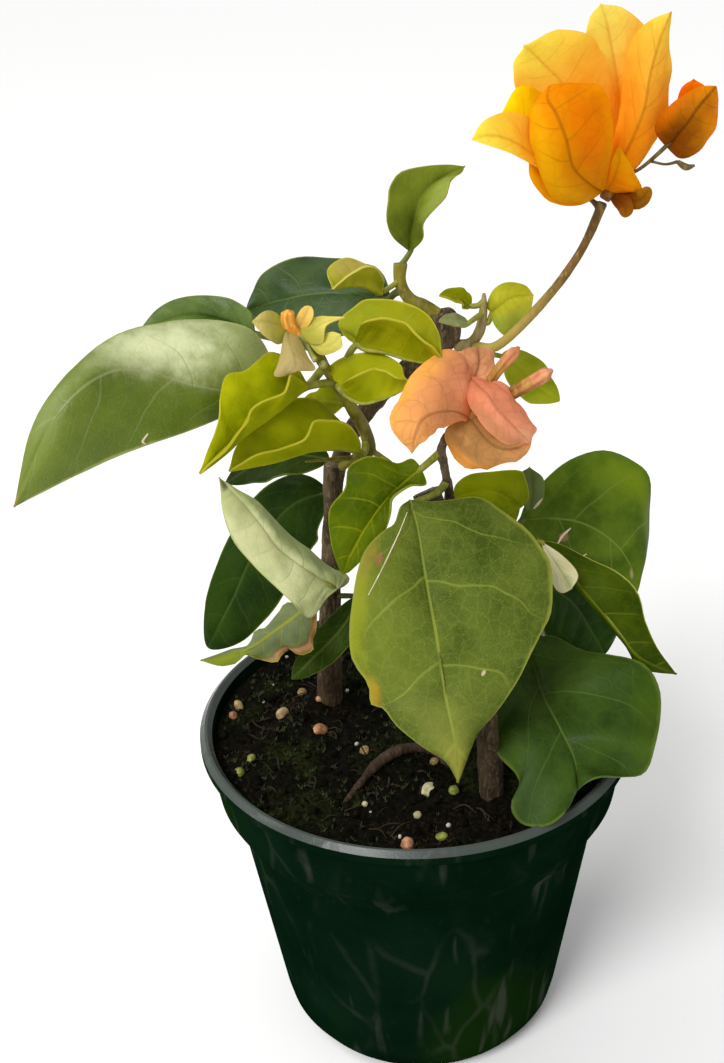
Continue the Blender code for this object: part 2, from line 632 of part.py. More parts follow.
PINK_BRACTS = {
    "left": {
        "rib": [(13.5, -22, 187), (7, -29, 193.5), (1, -33, 193.5), (-1, -32, 184)],
        "face": (-0.3, -0.8, 0.5), "half_width": 8.5, "blunt": 0.5, "draw": 0.5,
        "curl_left": -35, "curl_right": -35, "grid": (6, 7),
    },
    "right": {
        "rib": [(13, -20, 195), (17.5, -27, 193.5), (22.5, -29, 189.5), (26, -27, 184)],
        "face": (0.3, -0.8, 0.5), "half_width": 6.5, "blunt": 0.5, "draw": 0.5,
        "curl_left": -35, "curl_right": -35, "grid": (6, 7),
    },
    "lower": {
        "rib": [(13, -23, 187), (17, -28, 185), (21, -29, 183), (25.5, -27, 182)],
        "face": (0.1, -0.9, 0.2), "half_width": 5.5, "blunt": 0.5, "draw": 0.5,
        "curl_left": -25, "curl_right": -25, "grid": (4, 7),
    },
    "back": {
        "rib": [(13.5, -20, 189), (14, -18.5, 195), (15.5, -14, 200.5)],
        "face": (0, -0.9, 0.4), "half_width": 4.5, "blunt": 0.5, "draw": 0.5,
        "fold_left": (10, 10), "fold_right": (10, 10), "curl_left": -20, "curl_right": -20,
        "grid": (4, 6),
    },
}
PINK_BUDS = [
    ([(14.5, -21, 189), (19, -19, 196), (24, -20, 202.5)], [0.9, 1.1, 1.3]),
    ([(15, -21.5, 188), (24, -21, 193), (31, -23, 198)], [0.9, 1.4, 1.5]),
]

# Young flower cluster at the end of the left shoot

YOUNG_BRACTS = {
    "hanging": {
        "rib": [(-25, -10, 203), (-26, -14, 201.5), (-25.5, -16.5, 195.5)],
        "face": (-0.1, -0.9, 0.5), "half_width": 4.3, "blunt": 0.35, "draw": 0.25,
        "curl_left": -30, "curl_right": -30, "grid": (4, 5),
    },
    "left": {
        "rib": [(-25, -10, 204), (-29.5, -10.5, 206.5), (-34, -11, 207.5)],
        "face": (-0.1, -0.7, 0.7), "half_width": 1.8, "fold_left": (20, 20),
        "fold_right": (20, 20), "curl_left": -20, "curl_right": -20, "grid": (4, 4),
    },
    "right": {
        "rib": [(-24.5, -10, 204), (-20, -10, 206), (-14.5, -10, 207)],
        "face": (0.1, -0.7, 0.7), "half_width": 1.8, "fold_left": (20, 20),
        "fold_right": (20, 20), "curl_left": -20, "curl_right": -20, "grid": (4, 4),
    },
    "right_low": {
        "rib": [(-24.5, -10.5, 204), (-20.5, -13, 204.5), (-17, -14, 201)],
        "face": (0.1, -0.7, 0.7), "half_width": 2.2, "fold_left": (20, 20),
        "fold_right": (20, 20), "curl_left": -20, "curl_right": -20, "grid": (4, 4),
    },
    "petal_right": {
        "rib": [(-25, -10, 204), (-23, -10, 207.5), (-21.5, -9, 210)],
        "face": (0, -0.95, 0.3), "half_width": 1.7, "draw": 0.5, "fold_left": (15, 15),
        "fold_right": (15, 15), "grid": (4, 4),
    },
}
YOUNG_BUD = [(-24.5, -10, 203.5), (-26.3, -10.5, 206.5), (-26.5, -11, 210)]

SURFACE_ROOT = {
    "points": [(-19, -31, 88.5), (-15.5, -27, 90.6), (-10, -19.5, 92), (-3, -14.5, 92.2),
               (4, -14.5, 91.2), (8, -18, 88)],
    "radii": [0.8, 0.9, 1.3, 1.5, 1.4, 1.1],
}

# Beads on the soil: distance from the middle, bearing in degrees, radius
BEADS = [
    (25.4, 186, 2.1), (36, 170, 1.6), (49.5, 171, 1.3), (49.5, 165, 1.4), (27, 160, 1.2),
    (45, 197, 1.2), (49.5, 202, 1.4), (19.5, 225, 1.2), (29.5, 274, 1.9), (33, 284, 1.6),
    (18, 283, 1.2), (36, 247, 0.9), (39, 268, 0.9), (46, 275, 1.3), (49, 265, 1.8),
    (35.5, 149, 1.6), (30, 330, 1.8), (42, 20, 1.8), (36, 60, 1.9), (28, 95, 1.7),
    (44, 110, 1.8), (46, 320, 1.5),
]


def pot_profile():
    """Half section of the pot, from the inside middle over the rim and down the outside."""
    rim_bottom = POT_HEIGHT - RIM_DEPTH
    inner_rim = RIM_RADIUS - RIM_WIDTH
    inside = [
        (0.0, WALL + 0.7),
        (BASE_RADIUS - 2.0, WALL + 0.7),
        (FOOT_RADIUS - WALL - 0.4, FOOT_HEIGHT - 1.0),
        (SHOULDER_RADIUS - WALL, SHOULDER_BOTTOM),
        (COLLAR_FOOT_RADIUS - WALL, COLLAR_BOTTOM + 0.8),
        (inner_rim, rim_bottom + 0.6),
        (inner_rim, POT_HEIGHT - 0.9),
        (inner_rim + 0.9, POT_HEIGHT),
    ]
    outside = [
        (RIM_RADIUS - 1.0, POT_HEIGHT),
        (RIM_RADIUS, POT_HEIGHT - 1.0),
        (RIM_RADIUS, rim_bottom + 0.7),
        (RIM_RADIUS - 0.9, rim_bottom),
        (RIM_RADIUS - 1.8, rim_bottom - 0.3),
        (COLLAR_FOOT_RADIUS, COLLAR_BOTTOM),
        (SHOULDER_RADIUS, SHOULDER_BOTTOM),
        (FOOT_RADIUS, FOOT_HEIGHT),
        (FOOT_RADIUS - 1.0, FOOT_HEIGHT - 3.6),
        (BASE_RADIUS + 2.4, 1.6),
        (BASE_RADIUS, 0.0),
        (0.0, 0.0),
    ]
    return inside + outside


def turned(name, profile, collection, steps):
    mesh = bpy.data.meshes.new(name)
    bm = bmesh.new()
    verts = [bm.verts.new((radius * MM, 0.0, height * MM)) for radius, height in profile]
    for first, second in zip(verts, verts[1:]):
        bm.edges.new((first, second))
    bm.to_mesh(mesh)
    bm.free()
    obj = add_object(name, mesh, collection)
    screw = obj.modifiers.new("turn", "SCREW")
    screw.steps = steps
    screw.render_steps = steps
    screw.use_merge_vertices = True
    screw.merge_threshold = 0.02 * MM
    return bake(obj, collection)


def drain_cutters(cutters):
    """Boxes that open the drainage slots through the corner between wall and base."""
    size = DRAIN_SLOT
    for index in range(DRAIN_SLOTS):
        bearing = 2 * math.pi * (index + 0.5) / DRAIN_SLOTS
        bm = bmesh.new()
        bmesh.ops.create_cube(bm, size=MM)
        bmesh.ops.scale(bm, vec=(size[1], size[0], size[2]), verts=bm.verts)
        bmesh.ops.translate(bm, vec=((FOOT_RADIUS - 1.0) * MM, 0, 0.6 * MM), verts=bm.verts)
        bmesh.ops.rotate(bm, matrix=Matrix.Rotation(bearing, 3, "Z"), verts=bm.verts)
        mesh = bpy.data.meshes.new(f"drain_slot_{index}")
        bm.to_mesh(mesh)
        bm.free()
        cutter = add_object(mesh.name, mesh, cutters)
        cutter.hide_render = True
        cutter.display_type = "WIRE"


def make_pot(part, cutters):
    obj = turned("pot", pot_profile(), part, POT_STEPS)
    slots = make_collection("drain_slots")
    drain_cutters(slots)
    cut = obj.modifiers.new("drain", "BOOLEAN")
    cut.operation = "DIFFERENCE"
    cut.operand_type = "COLLECTION"
    cut.collection = slots
    cut.solver = "EXACT"
    obj.data.materials.append(make_material("pot_plastic", POT_GREEN, 0.32))
    obj.data.shade_smooth()
    obj.data.set_sharp_from_angle(angle=math.radians(30))
    return obj


def soil_height(x, y):
    """Uneven top of the peat, in millimetres."""
    waves = (
        1.1 * math.sin(0.19 * x + 0.7) * math.cos(0.16 * y - 0.4)
        + 0.7 * math.sin(0.37 * x - 0.31 * y + 1.9)
        + 0.4 * math.cos(0.61 * x + 0.53 * y)
    )
    share = min(1.0, math.hypot(x, y) / inner_radius(SOIL_LEVEL))
    return SOIL_LEVEL + waves * (1 - share ** 6) + SOIL_CROWN * (0.4 - share ** 2)


def inner_radius(height):
    """Radius of the pot's inner wall at a height."""
    steps = [point for point in pot_profile()[1:6]]
    for (r0, z0), (r1, z1) in zip(steps, steps[1:]):
        if z0 <= height <= z1:
            return r0 + (r1 - r0) * (height - z0) / (z1 - z0)
    return steps[-1][0]


def bead(distance, bearing, radius, collection, index):
    angle = math.radians(bearing)
    x, y = distance * math.cos(angle), distance * math.sin(angle)
    mesh = bpy.data.meshes.new(f"bead_{index}")
    bm = bmesh.new()
    bmesh.ops.create_icosphere(bm, subdivisions=1, radius=radius * MM)
    centre = Vector((x, y, soil_height(x, y) + radius * 0.35)) * MM
    bmesh.ops.translate(bm, vec=centre, verts=bm.verts)
    bm.to_mesh(mesh)
    bm.free()
    return add_object(mesh.name, mesh, collection)


def make_soil(part, cutters, material):
    floor = WALL + 0.7 + CLEARANCE
    foot = FOOT_HEIGHT - 1.0
    sides = [
        (BASE_RADIUS - 2.0 - CLEARANCE, floor),
        (inner_radius(foot) - CLEARANCE * 1.5, foot + CLEARANCE),
        (inner_radius(SHOULDER_BOTTOM) - CLEARANCE * 1.2, SHOULDER_BOTTOM),
        (inner_radius(COLLAR_BOTTOM) - CLEARANCE * 1.2, COLLAR_BOTTOM + 0.4),
    ]
    edge = inner_radius(SOIL_LEVEL - 1) - CLEARANCE * 1.2
    top = [(edge * (1 - ring / SOIL_RINGS) , SOIL_LEVEL) for ring in range(SOIL_RINGS + 1)]
    profile = top[::-1] + sides[::-1] + [(0.0, floor)]
    soil = turned("soil", profile, part, POT_STEPS)
    for vert in soil.data.vertices:
        if vert.co.z > (SOIL_LEVEL - 0.5) * MM:
            vert.co.z = soil_height(vert.co.x / MM, vert.co.y / MM) * MM
    pieces = [soil]
    for index, (distance, bearing, radius) in enumerate(BEADS):
        pieces.append(bead(distance, bearing, radius, part, index))
    soil = join_all("soil", pieces, part, material)
    for name in ("trunk_left", "trunk_right"):
        hole = stem(name, cutters, grow=CLEARANCE)
        hole.name = name + "_hole"
        hole.location.z = -CLEARANCE * MM
        bpy.context.view_layer.update()
        soil = cut_by(soil, hole, part, material)
        bpy.data.objects.remove(hole, do_unlink=True)
    root = tube("root_hole", SURFACE_ROOT["points"], SURFACE_ROOT["radii"], cutters,
                spans=3, resolution=1, grow=CLEARANCE)
    soil = cut_by(soil, root, part, material)
    bpy.data.objects.remove(root, do_unlink=True)
    soil.name = "soil"
    return soil


def trim(obj, stems, part, cutters, material):
    """Cuts a piece back from the stems it touches."""
    for name in stems:
        clearance = stem(name, cutters, grow=CLEARANCE)
        obj = cut_by(obj, clearance, part, material)
        bpy.data.objects.remove(clearance, do_unlink=True)
    keep_largest(obj)
    return obj


def make_stems(part, cutters):
    bark = make_material("bark", BARK, 0.85)
    green = make_material("green_shoot", SHOOT_GREEN, 0.55)
    join_all("trunk_left", [stem("trunk_left", part), stem("trunk_left_bend", part)], part, bark)
    join_all("trunk_right", [stem("trunk_right", part), stem("branch_right", part),
                             stem("branch_low", part)], part, bark)
    parents = {
        "shoot_left": ["trunk_left", "trunk_left_bend"],
        "shoot_top": ["trunk_left_bend"],
        "shoot_right": ["trunk_left_bend"],
        "flower_stem": ["shoot_right", "trunk_left_bend"],
    }
    extras = {
        "shoot_left": [
            ("twig_right", [(-10, 0.5, 170.5), (-6.5, -1, 168.5), (-4, -1.5, 166.8)], [0.8, 0.7, 0.6]),
            ("thorn_left", [(-13, 2.5, 167), (-19, -1, 168.5), (-25, -4, 169.5)], [0.8, 0.6, 0.45]),
        ],
        "flower_stem": [
            ("stub_left", [(43.6, -2, 227.5), (42.2, -2, 229), (41, -2, 230)], [0.8, 0.7, 0.6]),
        ],
    }
    for name, carriers in parents.items():
        pieces = [stem(name, part)]
        for label, points, radii in extras.get(name, []):
            pieces.append(tube(label, points, radii, part, spans=2, resolution=0))
        shoot = join_all(name, pieces, part, green)
        trim(shoot, carriers, part, cutters, green)
    bark_root = make_material("root_bark", (0.16, 0.10, 0.07), 0.8)
    root = tube("surface_root", SURFACE_ROOT["points"], SURFACE_ROOT["radii"], part,
                spans=3, resolution=1)
    root.data.materials.append(bark_root)


def make_leaf(name, form, part, cutters, materials):
    stalk_points = form["stalk"] + [form["rib"][0], tuple(smooth_point(form["rib"], 0.12))]
    radii = [STALK_RADIUS * 1.1, STALK_RADIUS, STALK_RADIUS * 0.9, STALK_RADIUS * 0.6]
    if form.get("half_width", 20) < 7:
        radii = [radius * 0.75 for radius in radii]
    pieces = [
        blade(name, form, part),
        tube(name + "_stalk", stalk_points, radii, part, spans=2, resolution=0),
    ]
    material = materials[form["colour"]]
    leaf = join_all(name, pieces, part, material)
    carrier = form["stem"]
    return trim(leaf, [carrier] + STEMS[carrier].get("fused", []), part, cutters, material)


def make_leaves(part, cutters):
    materials = {
        "green": make_material("leaf_green", GREEN, 0.4),
        "dark": make_material("leaf_dark", DARK_GREEN, 0.38),
        "fresh": make_material("leaf_fresh", FRESH_GREEN, 0.42),
        "pale": make_material("leaf_pale", PALE_GREEN, 0.45),
    }
    for name, form in LEAVES.items():
        make_leaf(name, form, part, cutters, materials)


def make_bracts(name, forms, tubes, part, material):
    """A flower head: bracts and tubes that grow from one point, in one body."""
    pieces = []
    for label, points, radii in tubes:
        pieces.append(tube(f"{name}_{label}", points, radii, part, spans=2, resolution=0))
    for label, form in forms.items():
        pieces.append(blade(f"{name}_{label}", form, part, BRACT_THICKNESS))
    return join_all(name, pieces, part, material)


def make_flowers(part, cutters):
    gold = make_material("gold_bract", GOLD, 0.55)
    deep = make_material("deep_gold_bract", DEEP_GOLD, 0.55)
    salmon = make_material("salmon_bract", SALMON, 0.6)
    young = make_material("young_bract", (0.45, 0.38, 0.12), 0.5)
    heart = [("heart", [(44.5, -2, 229.5), (45.4, -2, 231), (46.3, -2, 232.5)], [1.4, 2.2, 1.6])]
    head = make_bracts("bloom_gold", GOLD_BRACTS, heart, part, gold)
    trim(head, ["flower_stem"], part, cutters, gold)
    stalk = [("stalk", SIDE_BRACT_STALK, [0.7, 0.65, 0.8])]
    make_bracts("side_bract", SIDE_BRACTS, stalk, part, deep)
    buds = [(f"bud_{index}", points, radii) for index, (points, radii) in enumerate(PINK_BUDS)]
    heart = [("heart", [(12.5, -22, 186.5), (13.6, -22, 187.8), (14.8, -21.8, 189)], [1.1, 1.6, 1.2])]
    pink = make_bracts("bloom_pink", PINK_BRACTS, heart + buds, part, salmon)
    trim(pink, ["branch_right"], part, cutters, salmon)
    bud = [
        ("heart", [(-21.5, -9, 200), (-22.3, -9.8, 201.5), (-23, -10.4, 203)], [1.0, 1.5, 1.2]),
        ("bud", YOUNG_BUD, [1.2, 1.5, 1.1]),
    ]
    cluster = make_bracts("bloom_young", YOUNG_BRACTS, bud, part, young)
    trim(cluster, ["shoot_left"], part, cutters, young)


def main():
    clear_scene()
    part = make_collection("potted_bougainvillea")
    cutters = make_collection("cutters")
    make_pot(part, cutters)
    make_soil(part, cutters, make_material("peat", PEAT, 0.95))
    make_stems(part, cutters)
    make_leaves(part, cutters)
    make_flowers(part, cutters)


if __name__ == "__main__":
    main()
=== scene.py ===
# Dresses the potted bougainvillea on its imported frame: green pot, peat, bark, waved leaves
# and papery bracts. The viewer stands towards -Y and looks down a little.

import math
import random

import bmesh
import bpy
from mathutils import Matrix, Quaternion, Vector, noise


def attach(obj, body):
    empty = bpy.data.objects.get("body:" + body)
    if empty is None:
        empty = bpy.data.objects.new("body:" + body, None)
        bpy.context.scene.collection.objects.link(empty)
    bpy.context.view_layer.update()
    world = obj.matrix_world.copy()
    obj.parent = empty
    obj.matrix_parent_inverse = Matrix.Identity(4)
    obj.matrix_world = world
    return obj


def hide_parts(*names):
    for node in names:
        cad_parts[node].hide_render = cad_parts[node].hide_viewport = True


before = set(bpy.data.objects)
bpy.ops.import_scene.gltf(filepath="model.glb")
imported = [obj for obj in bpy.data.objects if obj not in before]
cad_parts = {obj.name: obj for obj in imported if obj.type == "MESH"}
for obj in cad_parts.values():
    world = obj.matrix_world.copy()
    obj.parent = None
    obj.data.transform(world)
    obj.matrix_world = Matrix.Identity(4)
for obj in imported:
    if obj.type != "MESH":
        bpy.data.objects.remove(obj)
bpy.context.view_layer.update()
mm = 0.001                # lengths below are in millimetres
tau = 2 * math.pi
print("frame loaded:", len(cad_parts), "nodes")


def ease(low, high, value):
    share = min(max((value - low) / (high - low), 0.0), 1.0)
    return share * share * (3 - 2 * share)


def smoothPoint(points, share):
    # a point of the smooth curve through the points, at a share 0 to 1 of the way
    last = len(points) - 1
    place = min(max(share, 0.0), 1.0) * last
    index = min(int(place), last - 1)
    u = place - index
    p1, p2 = Vector(points[index]), Vector(points[index + 1])
    p0 = Vector(points[index - 1]) if index > 0 else 2 * p1 - p2
    p3 = Vector(points[index + 2]) if index + 2 <= last else 2 * p2 - p1
    return 0.5 * (
        2 * p1
        + (p2 - p0) * u
        + (2 * p0 - 5 * p1 + 4 * p2 - p3) * u ** 2
        + (3 * p1 - p0 - 3 * p2 + p3) * u ** 3
    )


def smoothNumber(numbers, share):
    return smoothPoint([(number, 0, 0) for number in numbers], share).x


def plainNoise(point, size, octaves=3):
    # about -1 to 1, with features of the given size in millimetres
    return noise.fractal(Vector(point) / size, 1.0, 2.0, octaves)


def addPiece(name, data, materials=()):
    for material in materials:
        data.materials.append(material)
    piece = bpy.data.objects.new(name, data)
    bpy.context.scene.collection.objects.link(piece)
    return piece


def meshPiece(name, bm, materials, sharpAngle=None):
    mesh = bpy.data.meshes.new(name)
    bm.to_mesh(mesh)
    bm.free()
    mesh.shade_smooth()
    if sharpAngle:
        mesh.set_sharp_from_angle(angle=math.radians(sharpAngle))
    return addPiece(name, mesh, materials)


def finalMesh(piece):
    bpy.context.view_layer.update()
    graph = bpy.context.evaluated_depsgraph_get()
    return bpy.data.meshes.new_from_object(piece.evaluated_get(graph))


def applyModifiers(piece):
    mesh = finalMesh(piece)
    piece.modifiers.clear()
    old = piece.data
    piece.data = mesh
    mesh.name = piece.name
    bpy.data.meshes.remove(old)


def settle(piece, slotName, *nodes):
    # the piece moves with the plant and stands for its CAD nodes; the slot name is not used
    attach(piece, "root")
    if nodes:
        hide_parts(*nodes)


def camelName(nodeName):
    first, *rest = nodeName.split("_")
    return first + "".join(word.capitalize() for word in rest)


def modified(name, bm, kind, **fields):
    # the mesh after one modifier, handed back for more editing
    piece = meshPiece(name, bm, [])
    modifier = piece.modifiers.new("shape", kind)
    for field, value in fields.items():
        setattr(modifier, field, value)
    applyModifiers(piece)
    bm = bmesh.new()
    bm.from_mesh(piece.data)
    bpy.data.objects.remove(piece, do_unlink=True)
    return bm


# Material helpers

def newSkin(name):
    material = bpy.data.materials.new(name)
    material.use_nodes = True
    return material, material.node_tree


def feed(tree, socket, value):
    if isinstance(value, bpy.types.NodeSocket):
        tree.links.new(value, socket)
    elif socket.type == "RGBA" and len(value) == 3:
        socket.default_value = (*value, 1.0)
    else:
        socket.default_value = value


def put(tree, kind, sockets=None, **fields):
    node = tree.nodes.new("ShaderNode" + kind)
    for field, value in fields.items():
        setattr(node, field, value)
    for socket, value in (sockets or {}).items():
        feed(tree, node.inputs[socket], value)
    return node


def sums(tree, operation, *values):
    return put(tree, "Math", dict(enumerate(values)), operation=operation).outputs[0]


def times(tree, value, factor):
    return sums(tree, "MULTIPLY", value, factor)


def plus(tree, first, *others):
    # the first value and a share of each of the others
    for value, share in others:
        first = sums(tree, "ADD", first, times(tree, value, share))
    return first


def centred(tree, value, size):
    # moves 0 to 1 so that it lies evenly on both sides of zero
    return sums(tree, "MULTIPLY_ADD", value, size, -size / 2)


def mixed(tree, share, first, second):
    node = put(tree, "Mix", {0: share, 6: first, 7: second}, data_type="RGBA")
    return node.outputs[2]


def laid(tree, colour, *layers):
    # colours laid over the first, each where its mask is bright
    for mask, share, over in layers:
        colour = mixed(tree, times(tree, mask, share), colour, over)
    return colour


def ranged(tree, value, low, high, toLow=0.0, toHigh=1.0):
    node = put(tree, "MapRange", {0: value, 1: low, 2: high, 3: toLow, 4: toHigh},
               interpolation_type="SMOOTHSTEP")
    return node.outputs[0]


def grain(tree, vector, scale, detail=3.0, roughness=0.55):
    node = put(tree, "TexNoise", {"Vector": vector, "Scale": scale, "Detail": detail,
                                  "Roughness": roughness})
    return node.outputs[0]


def cells(tree, vector, scale, feature="DISTANCE_TO_EDGE"):
    return put(tree, "TexVoronoi", {"Vector": vector, "Scale": scale}, feature=feature).outputs[0]


def objectPlace(tree, scale=(1, 1, 1)):
    place = put(tree, "TexCoord").outputs["Object"]
    return put(tree, "Mapping", {"Vector": place, "Scale": scale}).outputs[0]


def objectHeight(tree):
    return put(tree, "SeparateXYZ", {0: objectPlace(tree)}).outputs[2]


def finished(tree, colour, rough, relief, strength, depth, shine=None):
    # colour, roughness and bump of the shader; the bump's depth is in metres
    shader = tree.nodes["Principled BSDF"]
    tree.links.new(colour, shader.inputs["Base Color"])
    tree.links.new(rough, shader.inputs["Roughness"])
    bump = put(tree, "Bump", {"Height": relief, "Strength": strength, "Distance": depth})
    tree.links.new(bump.outputs[0], shader.inputs["Normal"])
    if shine is not None:
        shader.inputs["Specular IOR Level"].default_value = shine


def lit(tree, colour, share):
    # lets light through a thin blade
    through = put(tree, "BsdfTranslucent", {"Color": colour}).outputs[0]
    both = put(tree, "MixShader", {0: share, 1: tree.nodes["Principled BSDF"].outputs[0], 2: through})
    tree.links.new(both.outputs[0], tree.nodes["Material Output"].inputs["Surface"])


# Blades: leaves and bracts share one form. Share runs from base to tip, across from -1 to +1

def bladeWidth(share, draw, blunt=0.6):
    # 0 at both ends and 1 at the widest place
    widest = blunt / (blunt + draw)
    top = widest ** blunt * (1 - widest) ** draw
    return share ** blunt * (1 - share) ** draw / top


def veinPlace(veins, share, across):
    # which side vein is near: whole numbers lie on a vein, and halves lie between two
    reach = veins["arch"] * abs(across) ** 1.15
    start = (share - reach) / (1 - reach)
    return start * veins["count"] + veins["start"] + (veins["shift"] if across > 0 else 0.0)


def flatHalf(form, here, along, share, across, bulge, uneven):
    # where a half lies before its waves: drawn between rib and margin, or folded up from flat
    left = across < 0
    reach = abs(across)
    margin = form.get("left" if left else "right")
    if margin is not None:
        aside = smoothPoint([form["rib"][0], *margin, form["rib"][-1]], share) - here
        up = (along.cross(aside) if left else aside.cross(along)).normalized()
        width = aside.length
        return here + aside * reach, up, width, width * bulge * math.sin(math.pi * reach)
    side = along.cross(Vector(form["face"])).normalized()
    fold = math.radians(form.get("fold", (0, 0))[0 if left else 1])
    curl = math.radians(form.get("curl", -15))
    end = fold + curl * reach
    width = form["halfWidth"] * bladeWidth(share, form.get("draw", 0.8))
    width = width * (form.get("leftShare", 1.0) if left else 1.0) * uneven
    sideways = width * (math.sin(end) - math.sin(fold)) / curl
    rise = width * (math.cos(fold) - math.cos(end)) / curl
    return here + side * (-sideways if left else sideways), side.cross(along), width, rise


def bladePoint(form, share, across, relief):
    rib = form["rib"]
    here = smoothPoint(rib, share)
    along = smoothPoint(rib, min(share + 0.02, 1)) - smoothPoint(rib, max(share - 0.02, 0))
    along.normalize()
    lane, lag = (7.0, math.radians(150)) if across < 0 else (0.0, 0.0)
    uneven = 1 + relief["outline"] * plainNoise((10 * share, lane, relief["seed"].x), 1.3, 2)
    flat, up, width, rise = flatHalf(form, here, along, share, across, relief["bulge"], uneven)
    slender = min(1.0, width / 6)
    waves, height = form.get("wave", (0, 0))
    rise += height * across ** 2 * math.sin(tau * waves * share + lag) * slender
    ripples, ripple = form.get("ripple", relief["ripple"])
    turn = ripples * share + 0.35 * plainNoise((3 * share, lane, relief["seed"].y), 1.0, 2)
    rise += ripple * abs(across) ** 2.5 * math.sin(tau * turn) * slender
    swell = abs(math.sin(math.pi * veinPlace(relief["veins"], share, across)))
    rise += relief["swell"] * (swell - 0.4) * math.sin(math.pi * min(abs(across) * 1.1, 1)) * slender
    fromRib = width * abs(across)
    rise -= relief["groove"] * math.exp(-(fromRib / 0.8) ** 2) * (1 - 0.5 * share)
    place = flat + up * rise
    crumple = relief["crumple"] * abs(across) * slender
    place += up * crumple * plainNoise(place + relief["seed"], relief["crumpleSize"])
    return place, math.copysign(fromRib, across)


def bladeNormal(form, share, across, relief):
    here = bladePoint(form, share, across, relief)[0]
    onward = bladePoint(form, min(share + 0.01, 1.0), across, relief)[0]
    aside = bladePoint(form, share, across + 0.01, relief)[0]
    return (aside - here).cross(onward - here).normalized()


def bladeMesh(name, form, relief, columns, rows):
    # a fine grid laid over the blade's form, with its two maps, then given its thickness
    bm = bmesh.new()
    blade = bm.loops.layers.uv.new("blade")
    measure = bm.loops.layers.uv.new("measure")
    bmesh.ops.create_grid(bm, x_segments=columns, y_segments=rows, size=1.0)
    length = sum((Vector(b) - Vector(a)).length for a, b in zip(form["rib"], form["rib"][1:]))
    maps = {}
    for vert in bm.verts:
        share = 0.5 - 0.5 * math.cos(math.pi * (vert.co.y + 1) / 2)
        across = math.copysign(abs(vert.co.x) ** 1.25, vert.co.x)
        place, away = bladePoint(form, share, across, relief)
        maps[vert] = ((across + 1) / 2, share), (away / 10, share * length / 10)
        vert.co = place * mm
    for face in bm.faces:
        for loop in face.loops:
            loop[blade].uv, loop[measure].uv = maps[loop.vert]
    bmesh.ops.remove_doubles(bm, verts=bm.verts, dist=0.01 * mm)
    bm = modified(name, bm, "SOLIDIFY", thickness=relief["thickness"] * mm, offset=0.0,
                  material_offset=1)
    bmesh.ops.remove_doubles(bm, verts=bm.verts, dist=0.005 * mm)
    return bm


def addTube(bm, points, radii, spans, resolution, slotIndex=0, knobby=0.0):
    # a round stem through the points, closed at both ends
    curve = bpy.data.curves.new("limb", "CURVE")
    curve.dimensions = "3D"
    curve.fill_mode = "FULL"
    curve.bevel_depth = mm
    curve.bevel_resolution = resolution
    curve.use_fill_caps = True
    count = spans * (len(points) - 1) + 1
    spline = curve.splines.new("POLY")
    spline.points.add(count - 1)
    for index, point in enumerate(spline.points):
        share = index / (count - 1)
        place = smoothPoint(points, share)
        point.co = (*(place * mm), 1.0)
        uneven = 1 + knobby * plainNoise(place, 5.0)
        point.radius = max(0.1, smoothNumber(radii, share)) * uneven
    limb = addPiece("limb", curve)
    mesh = finalMesh(limb)
    known = set(bm.verts)
    bm.from_mesh(mesh)
    fresh = [vert for vert in bm.verts if vert not in known]
    bmesh.ops.remove_doubles(bm, verts=fresh, dist=0.01 * mm)
    for face in bm.faces:
        if face.verts[0] not in known:
            face.material_index = slotIndex
            face.smooth = True
    bpy.data.objects.remove(limb, do_unlink=True)
    bpy.data.curves.remove(curve)
    bpy.data.meshes.remove(mesh)


# Leaf and bract finishes

leafLooks = {
    "green": {
        "deep": (0.058, 0.092, 0.01), "light": (0.125, 0.168, 0.022), "vein": (0.26, 0.31, 0.045),
        "edge": (0.3, 0.32, 0.05), "under": (0.17, 0.22, 0.05), "rough": (0.36, 0.55), "glow": 0.22,
        "glowTint": (0.2, 0.3, 0.005),
    },
    "dark": {
        "deep": (0.012, 0.032, 0.004), "light": (0.036, 0.07, 0.01), "vein": (0.09, 0.14, 0.022),
        "edge": (0.16, 0.2, 0.025), "under": (0.08, 0.14, 0.03), "rough": (0.3, 0.48), "glow": 0.14,
        "glowTint": (0.08, 0.17, 0.004),
    },
    "fresh": {
        "deep": (0.2, 0.24, 0.001), "light": (0.36, 0.38, 0.003), "vein": (0.4, 0.4, 0.012),
        "edge": (0.56, 0.5, 0.05), "under": (0.3, 0.34, 0.015), "rough": (0.36, 0.52), "glow": 0.34,
        "glowTint": (0.6, 0.6, 0.003),
    },
    "pale": {
        "deep": (0.16, 0.2, 0.06), "light": (0.33, 0.37, 0.15), "vein": (0.43, 0.46, 0.22),
        "edge": (0.42, 0.45, 0.16), "under": (0.3, 0.36, 0.12), "rough": (0.34, 0.55), "glow": 0.28,
        "glowTint": (0.4, 0.46, 0.08),
    },
}
leafVeins = {"count": 5.5, "start": 0.0, "shift": 0.45, "arch": 0.34}
